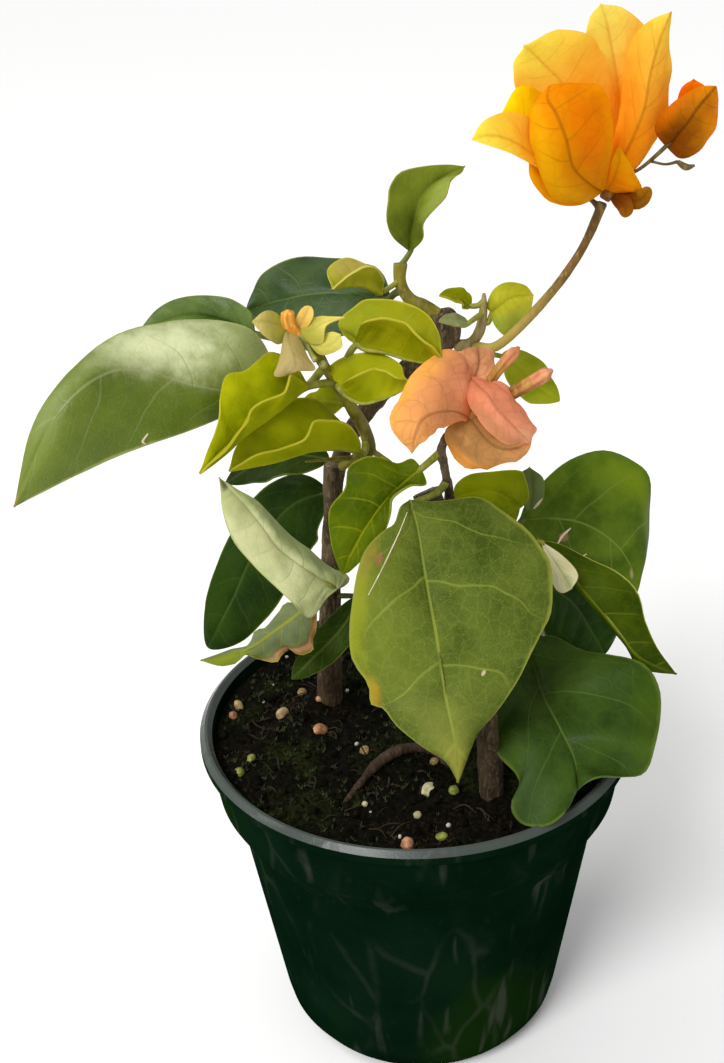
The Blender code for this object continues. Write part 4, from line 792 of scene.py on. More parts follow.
leafForms = {
    "leaf_left_large": {
        "stalk": [(-19, -8, 195), (-25, -4, 188)],
        "rib": [(-33, 1, 188), (-38, -3, 187.5), (-43.5, -7, 190), (-50, -9, 192.5), (-58.5, -11, 196.5),
            (-65.5, -15, 199), (-72.5, -22, 197.5), (-79.5, -27, 190.5), (-88.5, -32, 174.5)],
        "left": [(-34.5, -1, 184.5), (-43, -9, 184), (-51, -14, 183), (-60, -20, 182.5), (-67, -24, 181.5),
            (-75, -28.5, 179.5), (-82.5, -31, 177)],
        "right": [(-33, 7, 193.5), (-37.5, 8, 199.5), (-47.5, 7, 202.5), (-59, 0, 204), (-69, -8, 203),
            (-76.5, -17, 198.5), (-83, -25, 190.5)],
        "wave": (1.5, 0.5), "ripple": (2.5, 0.4), "colour": "pale",
    },
    "leaf_left_behind": {
        "stalk": [(-18, -7.3, 193), (-22, 4, 195)],
        "rib": [(-36, 16, 194.5), (-43.5, 24, 195.5), (-52, 30, 195.5), (-59.5, 33, 193.5), (-67, 34, 190)],
        "left": [(-39.5, 12, 193.5), (-46, 17, 192), (-52.5, 22, 190.5), (-60, 28, 189.5)],
        "right": [(-36.5, 18, 199.5), (-41.5, 24, 201), (-48.5, 30, 200.5), (-56, 34, 198.5),
            (-62, 36, 195)],
        "ripple": (2, 0.3), "colour": "dark",
    },
    "leaf_top_dark": {
        "stalk": [(0, 10.4, 206.5), (-2, 12, 205)],
        "rib": [(-3, 12, 204), (-8.5, 15, 203.5), (-15, 18.5, 203.5), (-22, 23, 202), (-28.5, 27.5, 199.5),
            (-35, 35, 195.5), (-39.5, 34.5, 194)],
        "left": [(-5, 13, 202), (-9, 11, 199), (-15, 10.5, 195.5), (-21.5, 13, 194), (-28, 19, 193.5),
            (-34.5, 27, 193.5)],
        "right": [(-3.5, 16.5, 206.5), (-5.5, 21, 208), (-10, 29.5, 207.5), (-15, 32.5, 208.5),
            (-22, 37.5, 207.5), (-28.5, 37.5, 206), (-34, 38.5, 202.5), (-37.5, 37, 198)],
        "wave": (1.5, 0.8), "ripple": (2, 0.4), "colour": "dark",
    },
    "leaf_top_small": {
        "stalk": [(-0.5, 11.3, 209.5), (-2, 10, 208)],
        "rib": [(-5, 8, 206.5), (-7, 7, 207.5), (-9.5, 6, 209), (-13, 5, 209.5), (-15, 4, 209.5),
            (-16.5, 3, 210)],
        "left": [(-4.5, 5, 210.5), (-6, 3, 214), (-8.5, 2, 215), (-12.5, 2, 213)],
        "right": [(-6, 9, 211), (-9.5, 9, 214), (-13.5, 8, 215.5), (-17.5, 6, 213.5)],
        "halfWidth": 6.3, "ripple": (1.5, 0.25), "colour": "fresh",
    },
    "leaf_centre_upper": {
        "stalk": [(-15.6, -5.7, 188.3), (-14.3, -6.5, 195)],
        "rib": [(-12, -8, 200.5), (-8, -11, 200), (-3.5, -15, 200.5), (1, -19, 200), (5, -22, 200.5),
            (7, -24, 202)],
        "left": [(-14.5, -2, 200), (-15, 0, 203.5), (-11.5, 0, 206.5), (-7.5, -3, 209), (-1.5, -8, 210),
            (4, -14, 209), (6.5, -20, 206)],
        "right": [(-10.5, -13, 206.5), (-6.5, -17, 209.5), (-2.5, -20, 209.5), (1.5, -23, 208),
            (4.5, -25, 205)],
        "ripple": (2.5, 0.5), "colour": "fresh",
    },
    "leaf_centre_lower": {
        "stalk": [(-14.6, -5, 186.3), (-15.8, -9, 190.5)],
        "rib": [(-15.5, -11, 191.5), (-13, -13, 189.5), (-9.5, -17, 189.5), (-5.5, -20, 192),
            (-2.5, -22, 194), (0, -24, 197)],
        "left": [(-18, -8, 194.5), (-14, -8, 197.5), (-7, -11, 199), (-2.5, -16, 198.5), (-1, -20, 196.5)],
        "right": [(-13.5, -16, 195), (-9.5, -19, 198), (-6, -22, 199.5), (-3, -24, 198.5)],
        "ripple": (2.5, 0.5), "colour": "fresh",
    },
    "leaf_left_folded": {
        "stalk": [(-16.6, -6.3, 190.5), (-20.5, -9.5, 191.5)],
        "rib": [(-23, -11, 192), (-27, -14, 189.5), (-32, -19, 187.5), (-37.5, -24, 185.5), (-42, -28, 183),
            (-47, -31, 180.5)],
        "left": [(-26.5, -17, 197), (-28, -20, 194), (-33, -23, 193), (-36, -26, 191.5), (-37, -28, 189),
            (-41.5, -31, 185.5)],
        "right": [(-26, -8, 196.5), (-30.5, -10, 200), (-33.5, -13, 199.5), (-37, -15, 197.5),
            (-40.5, -18, 198), (-42, -21, 194.5), (-42.5, -25, 190.5), (-44.5, -29, 186)],
        "ripple": (3, 0.5), "colour": "fresh",
    },
    "leaf_left_low": {
        "stalk": [(-10.1, -0.4, 173), (-10.8, -4, 171)],
        "rib": [(-11.5, -5, 172), (-15.5, -9, 175), (-21, -14, 177), (-25.5, -18, 178), (-32, -22, 178),
            (-41, -26, 178.5)],
        "left": [(-12, -9, 177.5), (-14.5, -14, 183.5), (-18.5, -17, 185.5), (-22, -19, 186),
            (-24.5, -21, 183), (-29, -23, 181.5), (-35, -26, 181.5)],
        "right": [(-12.5, -3, 175), (-16, -3, 179.5), (-20.5, -6, 185.5), (-25.5, -10, 188.5),
            (-31, -14, 188.5), (-36.5, -19, 186), (-39.5, -24, 182.5)],
        "ripple": (3, 0.5), "colour": "fresh",
    },
    "leaf_fill": {
        "stalk": [(-12.9, -4, 182.4), (-13.8, -2, 182.5)],
        "rib": [(-15, 0, 182.5), (-20.5, 3, 182), (-26, 5, 180)],
        "face": (-0.1, -0.5, 0.85), "halfWidth": 4.5, "colour": "fresh",
    },
    "leaf_centre_green": {
        "stalk": [(7, -15.5, 176), (5, -13, 173)],
        "rib": [(2.5, -11, 170), (-1.5, -12, 167), (-6, -14, 163.5), (-11, -16, 157.5), (-14.5, -16, 151),
            (-17, -16, 145)],
        "left": [(3.5, -12, 166), (-0.5, -14, 167), (-4.5, -16, 165), (-5, -17, 161), (-7, -18, 156.5),
            (-11.5, -18, 151), (-15, -17, 146.5)],
        "right": [(0.5, -9, 171.5), (-3, -9, 170.5), (-6.5, -9, 172), (-10.5, -9, 172.5),
            (-14.5, -10, 170.5), (-15.5, -12, 166), (-19.5, -13, 161), (-19.5, -14, 154),
            (-18, -15, 147.5)],
        "ripple": (2.5, 0.5), "colour": "fresh",
    },
    "leaf_front_large": {
        "stalk": [(8.6, -10, 166), (6, -12.5, 164)],
        "rib": [(-0.5, -16.5, 164.5), (1, -19.5, 158), (2, -23.5, 151), (3, -28.5, 144.5), (4, -35, 139),
            (5, -37, 130.5), (6, -41, 123.5), (7.5, -45, 115.5), (8, -47, 105.5)],
        "left": [(6.5, -15, 163), (15.5, -13.5, 163), (21, -13.5, 159.5), (27, -15, 155),
            (30, -17.5, 151.5), (32, -20.5, 148), (32, -23.5, 142.5), (31, -27, 138.5), (29, -30.5, 136),
            (26, -34, 132), (22.5, -37, 126.5), (18, -39.5, 120.5), (13.5, -42, 116), (10.5, -44.5, 111)],
        "right": [(-3, -18, 163.5), (-4.5, -19.5, 160), (-7, -21, 159), (-10.5, -23, 156.5),
            (-12.5, -25, 154), (-14, -27, 149.5), (-15, -29.5, 144.5), (-16, -32, 137.5),
            (-15.5, -34, 131.5), (-12, -36, 126.5), (-11.5, -38, 122.5), (-8.5, -39.5, 122),
            (-5.5, -41.5, 118.5), (1, -43.5, 113.5), (5.5, -45.5, 110.5)],
        "wave": (1.5, 0.5), "colour": "green",
    },
    "leaf_right_large": {
        "stalk": [(26, 2.8, 140.6), (27, 5, 142.5)],
        "rib": [(28, 8, 145), (36.5, 11.5, 143.5), (45.5, 14.5, 140), (54, 16.5, 133), (59, 16.5, 125),
            (60.5, 14.5, 119)],
        "left": [(30, 11.5, 148), (35, 17, 151), (42.5, 21.5, 155), (51.5, 23.5, 156.5), (59, 25, 152.5),
            (63.5, 24, 148), (64.5, 22.5, 137.5), (64.5, 21, 129.5)],
        "right": [(29.5, 7.5, 139), (35, 9.5, 132), (43.5, 13, 124.5), (52, 15, 119), (58, 14.5, 117)],
        "wave": (1.5, 0.8), "ripple": (2, 0.4), "colour": "dark",
    },
    "leaf_right_folded": {
        "stalk": [(28, 4, 141), (30, 3, 142)],
        "rib": [(31.5, 2, 142.5), (36.5, -1, 138), (41, -4, 133), (45.5, -8, 128.5), (51, -11, 122),
            (56, -14, 116.5), (65, -16, 112.5)],
        "left": [(37.5, 2, 141), (45, 0, 137.5), (51.5, -3, 135), (56, -6, 131), (58, -9, 124),
            (60.5, -13, 118.5)],
        "right": [(35.5, 0, 137), (40.5, -2, 131.5), (45.5, -6, 126.5), (50, -8, 121.5), (53.5, -11, 117.5),
            (56.5, -13, 113)],
        "halfWidth": 7, "ripple": (2.5, 0.3), "colour": "green",
    },
    "leaf_right_pale": {
        "stalk": [(23, 1, 140), (28, -2, 143)],
        "rib": [(31.5, -7, 147), (35, -8, 141.5), (39, -10, 135)],
        "left": [(37, -7, 142.5), (40.5, -9, 138.5)],
        "right": [(33, -8, 142), (34.5, -9, 136), (36.5, -10, 134)],
        "halfWidth": 4, "ripple": (1, 0.3), "colour": "pale",
    },
    "leaf_right_shaded": {
        "stalk": [(20, -1, 139), (27, 6, 131)],
        "rib": [(34, 11, 125), (43.5, 16, 115.5), (50.5, 19, 102.5), (53.5, 20, 96)],
        "face": (0.3, -0.85, 0.4), "halfWidth": 12, "draw": 0.6, "colour": "dark",
    },
    "leaf_right_lower": {
        "stalk": [(15.3, -19, 118), (22, -8, 117)],
        "rib": [(29, -4, 115.5), (30.5, -9.5, 111), (32, -17.5, 107.5), (34.5, -27, 105.5),
            (37, -34, 101.5), (37, -40.5, 97)],
        "left": [(35, -5, 118.5), (42.5, -7.5, 115.5), (49.5, -11.5, 116), (57, -15.5, 115),
            (60, -19.5, 111), (59.5, -25, 106.5), (56.5, -34, 103.5), (54.5, -34, 96.5), (48.5, -36, 97),
            (41.5, -41.5, 101)],
        "right": [(22.5, -13.5, 111), (19, -22.5, 108), (17.5, -26.5, 102.5), (19.5, -32, 100.5),
            (22.5, -38.5, 101), (23, -41, 98.5), (20.5, -46, 97), (23, -47.5, 93), (28.5, -49, 93.5),
            (32.5, -48.5, 96.5)],
        "ripple": (3.5, 0.5), "colour": "dark",
    },
    "leaf_left_pale": {
        "stalk": [(-20.6, 9.8, 132), (-16.5, 2, 133.5)],
        "rib": [(-18.5, -8, 136.5), (-23, -9, 140.5), (-28, -11, 146), (-32.5, -12, 151), (-35.5, -13, 157),
            (-39, -14, 163.5), (-44.5, -15, 171.5)],
        "left": [(-21, -9, 135), (-24, -10, 131), (-26.5, -11, 130.5), (-29, -13, 135), (-33.5, -15, 142),
            (-38.5, -16, 149), (-42.5, -17, 156), (-44, -17, 163)],
        "right": [(-17, -6, 138.5), (-20, -6, 141.5), (-24.5, -7, 146.5), (-29, -8, 151.5),
            (-33.5, -10, 158.5), (-37, -12, 164), (-41, -14, 168)],
        "ripple": (3, 0.4), "colour": "pale",
    },
    "leaf_left_yellow": {
        "stalk": [(-21.2, 10.4, 122), (-26, 4, 126.5)],
        "rib": [(-24, -8, 133.5), (-28, -9, 131), (-34, -11, 127.5), (-39.5, -14, 125), (-46, -17, 124),
            (-52.5, -20, 125)],
        "left": [(-24, -9, 130), (-24.5, -9, 126), (-25.5, -11, 123.5), (-25.5, -12, 121.5),
            (-28.5, -14, 121.5), (-31, -12, 122), (-33.5, -14, 121.5), (-35.5, -13, 119.5),
            (-38.5, -16, 122), (-41.5, -16, 123.5), (-44, -18, 123), (-48, -20, 123)],
        "right": [(-27.5, -5, 131.5), (-32, -5, 129.5), (-37.5, -7, 126), (-41.5, -11, 123.5),
            (-47, -16, 124.5)],
        "halfWidth": 6.5, "ripple": (4, 0.8), "colour": "fresh",
    },
    "leaf_left_dark": {
        "stalk": [(-19.4, 7.8, 148.5), (-19, 13, 151)],
        "rib": [(-20.5, 17, 151), (-30, 20, 146), (-40, 24, 132.5), (-48.5, 27, 114), (-56.5, 28, 98.5)],
        "face": (-0.3, -0.8, 0.5), "halfWidth": 10, "draw": 0.6, "leftShare": 1.3, "curl": -20,
        "wave": (1.5, 0.8), "colour": "dark",
    },
    "leaf_left_sliver": {
        "stalk": [(-18.7, 6.8, 160), (-18.5, 9, 163)],
        "rib": [(-19.5, 10, 163.5), (-28, 12, 164), (-38.5, 14, 160.5), (-46, 13, 156.5)],
        "face": (0, -0.4, 0.9), "halfWidth": 6, "colour": "dark",
    },
    "leaf_trunk_dark": {
        "stalk": [(-21.1, 10.3, 124), (-14, 6, 126)],
        "rib": [(-13, 2, 128), (-18.5, -1, 120.5), (-26, -5, 114.5), (-31.5, -8, 110.5)],
        "face": (-0.2, -0.8, 0.5), "halfWidth": 4.5, "draw": 0.8, "colour": "dark",
    },
    "leaf_middle_fresh": {
        "stalk": [(20, -1, 139), (25, 2, 146)],
        "rib": [(27.5, 3, 151), (23.5, 2, 155), (18.5, 1, 157.5), (10.5, 0, 156.5)],
        "left": [(25.5, 2, 148.5), (20, 1, 150.5), (14.5, 0, 153.5)],
        "right": [(29.5, 4, 153.5), (29, 4, 158), (27.5, 4, 161), (21, 3, 161.5), (15, 2, 161.5),
            (11.5, 1, 159.5)],
        "halfWidth": 6, "ripple": (1.5, 0.3), "colour": "fresh",
    },
    "leaf_middle_shaded": {
        "stalk": [(23, 1, 140), (26, 9, 141)],
        "rib": [(30.5, 10, 146), (31.5, 12, 151.5), (31, 13, 157.5)],
        "left": [(28, 11, 151), (28.5, 12, 156)],
        "right": [(34, 11, 148.5), (34.5, 12, 154.5)],
        "halfWidth": 3, "ripple": (1, 0.2), "colour": "green",
    },
    "leaf_knob_back": {
        "stalk": [(16, 5.8, 194.6), (20, 10, 190)],
        "rib": [(23.5, 10.5, 189), (29, 12, 184), (33, 11, 180), (37.5, 9, 177)],
        "face": (0.1, -0.7, 0.7), "halfWidth": 5.5, "colour": "fresh",
    },
    "leaf_knob_right": {
        "stalk": [(18.1, 4.4, 200.5), (19.5, 4.5, 199.5)],
        "rib": [(20, 4.5, 202), (22, 3, 204), (25, 3, 206), (30, 4, 206)],
        "left": [(19.5, 5, 204), (21, 5, 207.5), (24, 5, 209), (28, 5, 208)],
        "right": [(21.5, 2, 199), (23.5, 1, 197.5), (26.5, 2, 199.5), (29, 3, 202.5)],
        "halfWidth": 5.2, "ripple": (1.5, 0.3), "colour": "fresh",
    },
    "leaf_knob_left": {
        "stalk": [(18.5, 4, 205), (17, 4, 204)],
        "rib": [(15.5, 4, 204), (12.5, 3, 206.5), (8, 1, 208)],
        "face": (-0.2, -0.5, 0.8), "halfWidth": 2.6, "fold": (20, 20), "colour": "fresh",
    },
    "leaf_knob_lower": {
        "stalk": [(18.3, 4.2, 202), (16.5, 1.5, 202)],
        "rib": [(14.5, -1, 201.5), (11, -3, 203), (7.5, -5, 204)],
        "face": (-0.2, -0.6, 0.8), "halfWidth": 2, "fold": (20, 20), "colour": "pale",
    },
    "leaf_upright": {
        "stalk": [(-0.4, 12, 211.8), (0.8, 12, 213.3)],
        "rib": [(2, 12, 215), (2, 11, 219.5), (3, 9, 224.5), (4.5, 8, 229), (8, 8, 232.5),
            (14.5, 8, 235.5)],
        "left": [(-2, 9, 219.5), (-3.5, 7, 224), (-3, 6, 229), (-2.5, 7, 232), (0, 8, 235), (5.5, 8, 236),
            (11, 8, 236)],
        "right": [(5, 9, 219), (5, 7, 223), (7, 5, 226.5), (10, 5, 229.5), (11, 6, 232), (11.5, 7, 233),
            (13.5, 8, 234)],
        "halfWidth": 6.5, "ripple": (2, 0.4), "colour": "green",
    },
}

leafBuild = {
    "thickness": 0.5,         # millimetres
    "groove": 0.45,           # depth of the midrib's groove
    "swell": 0.35,            # rise of the blade between side veins
    "bulge": 0.06,            # how far a drawn half bows up, as a share of its width
    "crumple": 0.55,          # unevenness near the margin
    "crumpleSize": 13.0,
    "ripple": (3.0, 0.5),     # waves along each margin, and their height
    "freshRipple": (2.6, 0.7),
    "outline": 0.035,         # unevenness of the width
    "grid": (36, 56),         # columns and rows of the blade's mesh
    "small": 8.0,             # half width up to which a leaf is smoother, on the small grid
    "smallGrid": (22, 36),
    "smallest": 7.0,          # half width under which a leaf gets a thinner stalk
}
leafSlots = {"green": "leaf_green", "dark": "leaf_dark", "fresh": "leaf_fresh", "pale": "leaf_pale"}


def leafPiece(nodeName, form, order, under, stalk, scar):
    look = {**leafLooks[form["colour"]], **leafDetails.get(nodeName, {})}
    halfWidth = form.get("halfWidth", 20)       # a blade with drawn margins is large unless it says so
    relief = {**leafBuild, "veins": {**leafVeins, **look.get("veins", {})},
              "seed": Vector((17.0 * order, 5.0 * order, 0))}
    if form["colour"] == "fresh":
        relief["ripple"] = leafBuild["freshRipple"]
    columns, rows = leafBuild["grid"]
    if halfWidth <= leafBuild["small"]:
        relief["swell"] *= 0.5
        relief["groove"] *= 0.7
        columns, rows = leafBuild["smallGrid"]
    relief.update(look.get("relief", {}))
    bm = bladeMesh(nodeName, form, relief, columns, rows)
    # the stalk runs on under the blade as its midrib
    line = [Vector(point) for point in form["stalk"]]
    for share, depth in ((0.03, 0.2), (0.15, 0.42), (0.35, 0.36), (0.55, 0.3), (0.75, 0.22)):
        normal = bladeNormal(form, share, 0.0, relief)
        line.append(bladePoint(form, share, 0.0, relief)[0] - normal * depth)
    thin = 0.75 if halfWidth < leafBuild["smallest"] else 1.0
    radii = [radius * thin for radius in (1.05, 0.9, 0.8, 0.55, 0.4, 0.3, 0.2)]
    addTube(bm, line, radii, spans=5, resolution=3, slotIndex=2)
    for places, radius in look.get("marks", []):
        # a pale healed tear, lying on the upper side
        tear = [bladePoint(form, share, across, relief)[0]
                + bladeNormal(form, share, across, relief) * 0.22 for share, across in places]
        addTube(bm, tear, [radius * 0.5, radius, radius * 0.4], spans=4, resolution=1, slotIndex=3)
    skins = [leafSkin(nodeName, look), under, stalk, scar]
    piece = meshPiece(camelName(nodeName), bm, skins, 70)
    settle(piece, leafSlots[form["colour"]], nodeName)


def makeLeaves():
    unders = {name: underSkin(name + "Underside", look) for name, look in leafLooks.items()}
    stalks = {
        "green": stalkSkin("greenStalk", (0.17, 0.20, 0.025), (0.09, 0.11, 0.010), (0.26, 0.25, 0.06)),
        "dark": stalkSkin("darkStalk", (0.10, 0.12, 0.02), (0.045, 0.06, 0.01), (0.17, 0.16, 0.06)),
        "fresh": stalkSkin("freshStalk", (0.27, 0.28, 0.03), (0.16, 0.17, 0.01), (0.36, 0.32, 0.10)),
    }
    stalks["pale"] = stalks["fresh"]
    scar = stalkSkin("scarSkin", (0.80, 0.70, 0.48), (0.55, 0.42, 0.25), (0.90, 0.84, 0.66))
    for order, (nodeName, form) in enumerate(leafForms.items()):
        leafPiece(nodeName, form, order, unders[form["colour"]], stalks[form["colour"]], scar)
    print("leaves:", len(leafForms))


makeLeaves()


# Flower heads: bracts in layers, each rising from the end of its stem

goldBracts = {
    "front": {
        "rib": [(44, -3, 231.5), (40, -9, 235), (35.5, -14, 240), (33.5, -17, 246.5), (31.5, -16, 251.5),
            (30, -13, 254), (31, -9, 256)],
        "left": [(38, -8, 230.5), (32, -11, 232.5), (28, -14, 240.5), (26.5, -13, 247.5),
            (27.5, -11, 252.5)],
        "right": [(44.5, -7, 236), (43.5, -13, 243), (43.5, -14, 248.5), (43, -12, 253), (39.5, -9, 256)],
        "ripple": (3, 0.45),
    },
    "top_left": {
        "rib": [(44.5, -1, 231.5), (42.5, -3, 240.5), (39, -3, 249), (34.5, -2, 255), (31, -2, 258.5),
            (28, -3, 261.5), (26, -5, 263.5)],
        "left": [(39.5, -6, 239.5), (32.5, -8, 247.5), (27, -8, 252.5), (24, -7, 255.5), (23.5, -6, 259.5)],
        "right": [(46.5, 1, 239.5), (46.5, 3, 249), (45, 4, 257), (41, 2, 263.5), (34.5, -1, 265.5)],
        "ripple": (3, 0.45),
    },
    "back_left": {
        "rib": [(45, -1.5, 231.5), (47.5, 4, 240), (48.5, 7, 247.5), (48, 8, 253.5), (46.5, 8, 260),
            (45, 7, 265.5), (43.5, 6, 269.5)],
        "left": [(44, 2, 239.5), (42.5, 4, 248), (40.5, 5, 255), (39.5, 5, 261.5), (41, 5.5, 266.5)],
        "right": [(49.5, 5, 238.5), (53.5, 8, 247.5), (56, 10, 256.5), (54.5, 9.5, 263), (49, 8, 268)],
        "ripple": (3, 0.45),
    },
    "back_right": {
        "rib": [(45.5, -1, 231.5), (48.5, 0, 237.5), (51, 1, 242.5), (53, 1, 248.5), (54, 2, 255),
            (56, 4, 261.5), (58.5, 5, 267.5)],
        "left": [(46.5, 2, 239.5), (48, 4, 246.5), (49, 5, 255), (50.5, 6, 261.5), (54, 6, 265.5)],
        "right": [(51.5, 2, 234.5), (56.5, 4, 240.5), (59, 5, 247.5), (59.5, 6, 254), (58.5, 6, 261.5)],
        "ripple": (3, 0.45),
    },
    "far_left": {
        "rib": [(43.5, -3, 231.5), (35, -8, 237.5), (27.5, -12, 242.5), (22.5, -14, 246), (18, -15, 247.5),
            (14, -16, 247)],
        "left": [(34.5, -9, 235.5), (27, -13, 240.5), (22.5, -15, 243.5), (18, -16, 245.5)],
        "right": [(35.5, -6, 241.5), (28.5, -9, 247.5), (23, -12, 251.5), (17, -14, 250.5)],
        "ripple": (3, 0.45),
    },
    "mid_left": {
        "rib": [(43.5, -2, 231.5), (37, -7, 238.5), (31, -10, 244), (26.5, -11, 248), (23.5, -11, 250.5),
            (21, -10, 251)],
        "left": [(36, -8, 236), (30, -11, 240.5), (26, -12, 244), (22.5, -12, 248)],
        "right": [(40.5, -3, 243), (35.5, -5, 250), (30.5, -6, 253.5), (24.5, -8, 255.5)],
        "ripple": (3, 0.45),
    },
    "low_left": {
        "rib": [(43.5, -3, 231.5), (38.5, -6, 233), (34, -8, 234.5), (30, -10, 237), (28, -11, 239.5),
            (26.5, -12, 241)],
        "left": [(39, -7, 230), (34, -9, 230.5), (30, -11, 233), (27, -12, 237)],
        "right": [(39, -6, 235), (35, -8, 238), (31.5, -9, 240.5), (28.5, -10, 241.5)],
        "ripple": (3, 0.45),
    },
    "low_front": {
        "rib": [(44.5, -3, 231.5), (45.5, -5, 234), (46, -7, 237), (46.5, -7, 239.5), (46.5, -6, 242)],
        "left": [(44.5, -6, 235), (44.5, -8, 238), (45, -8, 240.5)],
        "right": [(49.5, -4, 231.5), (52, -5, 232.5), (49, -6, 238)],
        "ripple": (3, 0.45),
    },
    "young_right": {
        "rib": [(46.2, -2.6, 230.6), (51, -6, 230), (53.5, -7, 233)],
        "face": (0, -0.9, 0.4), "halfWidth": 2, "draw": 0.5, "fold": (20, -20),
    },
    "young_low": {
        "rib": [(45.8, -2.8, 230.4), (48, -7, 229.5), (48.5, -8, 227)],
        "face": (0, -0.9, 0.4), "halfWidth": 1.8, "draw": 0.5, "fold": (20, -20),
    },
}

sideBracts = {
    "near": {
        "rib": [(58.5, 1, 239.5), (60, -3, 243.5), (61.5, -5, 246.5), (63, -5, 249), (65.5, -4, 251.5),
            (67.5, -2, 253)],
        "left": [(55, -1, 244), (56.5, -2, 248), (60.5, -2, 251), (64, -2, 253)],
        "right": [(61.5, -1, 238), (65, -2, 239.5), (67.5, -2, 243.5), (69, -1, 248)],
        "ripple": (2, 0.4),
    },
    "far": {
        "rib": [(59, 2, 239.5), (62, 4, 246.5), (63.5, 4, 251), (64, 4, 253.5)],
        "left": [(60.5, 4, 247.5), (61.5, 4.5, 251.5)],
        "right": [(65, 4, 246.5), (67, 4, 251)],
        "ripple": (2, 0.3),
    },
}

pinkBracts = {
    "left": {
        "rib": [(13, -22.5, 187), (9.5, -28, 191), (5.5, -32, 193), (2, -34, 192.5), (0.5, -35, 190),
            (-0.5, -33, 184)],
        "left": [(11, -25, 188), (7.5, -29, 188.5), (4.5, -32, 188.5), (2, -34, 187.5)],
        "right": [(13, -21, 199), (8, -22, 203.5), (1, -25, 199.5), (-3.5, -29, 194.5), (-4, -32, 189.5)],
    },
    "right": {
        "rib": [(13, -20, 196), (16, -27, 195), (18, -30, 192.5), (21.5, -30, 188.5), (26, -27, 182.5)],
        "left": [(17, -21, 195.5), (21.5, -22, 193.5), (25, -23, 190), (27, -25, 185)],
        "right": [(12, -25, 194), (13.5, -28, 190.5), (17.5, -29, 186), (22, -28, 183.5)],
        "ripple": (3, 0.45),
    },
    "lower": {
        "rib": [(13, -23, 187.5), (14.5, -26, 186), (16.5, -27, 183.5), (19.5, -27, 181.5), (23, -26, 181),
            (26.5, -25, 182.5)],
        "left": [(16, -24, 187.5), (19.5, -25, 186.5), (23, -25, 185.5)],
        "right": [(7.5, -24, 185.5), (8, -25, 181), (12, -25, 176.5), (18, -25, 176), (23.5, -25, 178),
            (26, -25, 180)],
        "ripple": (3, 0.45),
    },
    "back": {
        "rib": [(14, -21, 191.5), (14.5, -18.5, 195), (15.5, -17, 198), (15.5, -15, 201)],
        "left": [(11.5, -19, 196), (11, -18, 200), (12.5, -17, 201.5)],
        "right": [(18, -18, 194), (19, -16, 197), (18.5, -15, 200)],
        "ripple": (3, 0.4),
    },
}
pinkBuds = [
    ([(14.5, -21, 189), (19, -19, 196), (24, -20, 202.5)], [0.9, 1.1, 1.3]),
    ([(15, -21.5, 188), (24, -21, 193), (31, -23, 198)], [0.9, 1.4, 1.5]),
]

youngBracts = {
    "hanging": {
        "rib": [(-26.5, -10, 205.5), (-26.5, -14, 203.5), (-25.5, -16, 201), (-25, -16, 197.5)],
        "left": [(-24.5, -12, 204), (-22.5, -14, 201), (-21, -14, 197), (-23, -15, 197)],
        "right": [(-27.5, -12, 204.5), (-28.5, -14, 200.5), (-30, -15, 196.5), (-28, -16, 196.5)],
        "ripple": (2, 0.3),
    },
    "left": {
        "rib": [(-26.5, -10, 205.5), (-29.5, -11, 207), (-32, -12, 208), (-34.5, -12, 208)],
        "left": [(-28.5, -12, 202.5), (-31.5, -13, 204.5)],
        "right": [(-29, -10, 209), (-31.5, -11, 210)],
        "halfWidth": 1.8, "ripple": (2, 0.25),
    },
    "right": {
        "rib": [(-24.5, -10, 205.5), (-22, -11, 205), (-19, -11, 206.5), (-14, -10, 207.5)],
        "left": [(-22, -9, 207), (-19.5, -9, 207.5), (-17, -9.5, 207.5)],
        "right": [(-22, -12, 202.5), (-19, -12, 202.5), (-18, -12, 206.5)],
        "halfWidth": 1.8, "ripple": (2, 0.25),
    },
    "right_low": {
        "rib": [(-22.5, -11, 202.5), (-19, -12, 201.5), (-16.5, -12, 202.5), (-15, -11.5, 204)],
        "left": [(-20, -10, 203), (-17, -11, 204.5)],
        "right": [(-19.5, -12, 199.5), (-15, -12, 201)],
        "halfWidth": 2.2, "ripple": (2, 0.25),
    },
    "petal_right": {
        "rib": [(-25, -10, 204), (-23, -10, 207.5), (-21.5, -9, 210)],
        "face": (0, -0.95, 0.3), "halfWidth": 1.7, "draw": 0.5, "fold": (15, 15),
    },
}
youngBud = [(-24.5, -10, 203.5), (-26.3, -10.5, 206.5), (-26.5, -11, 210)]

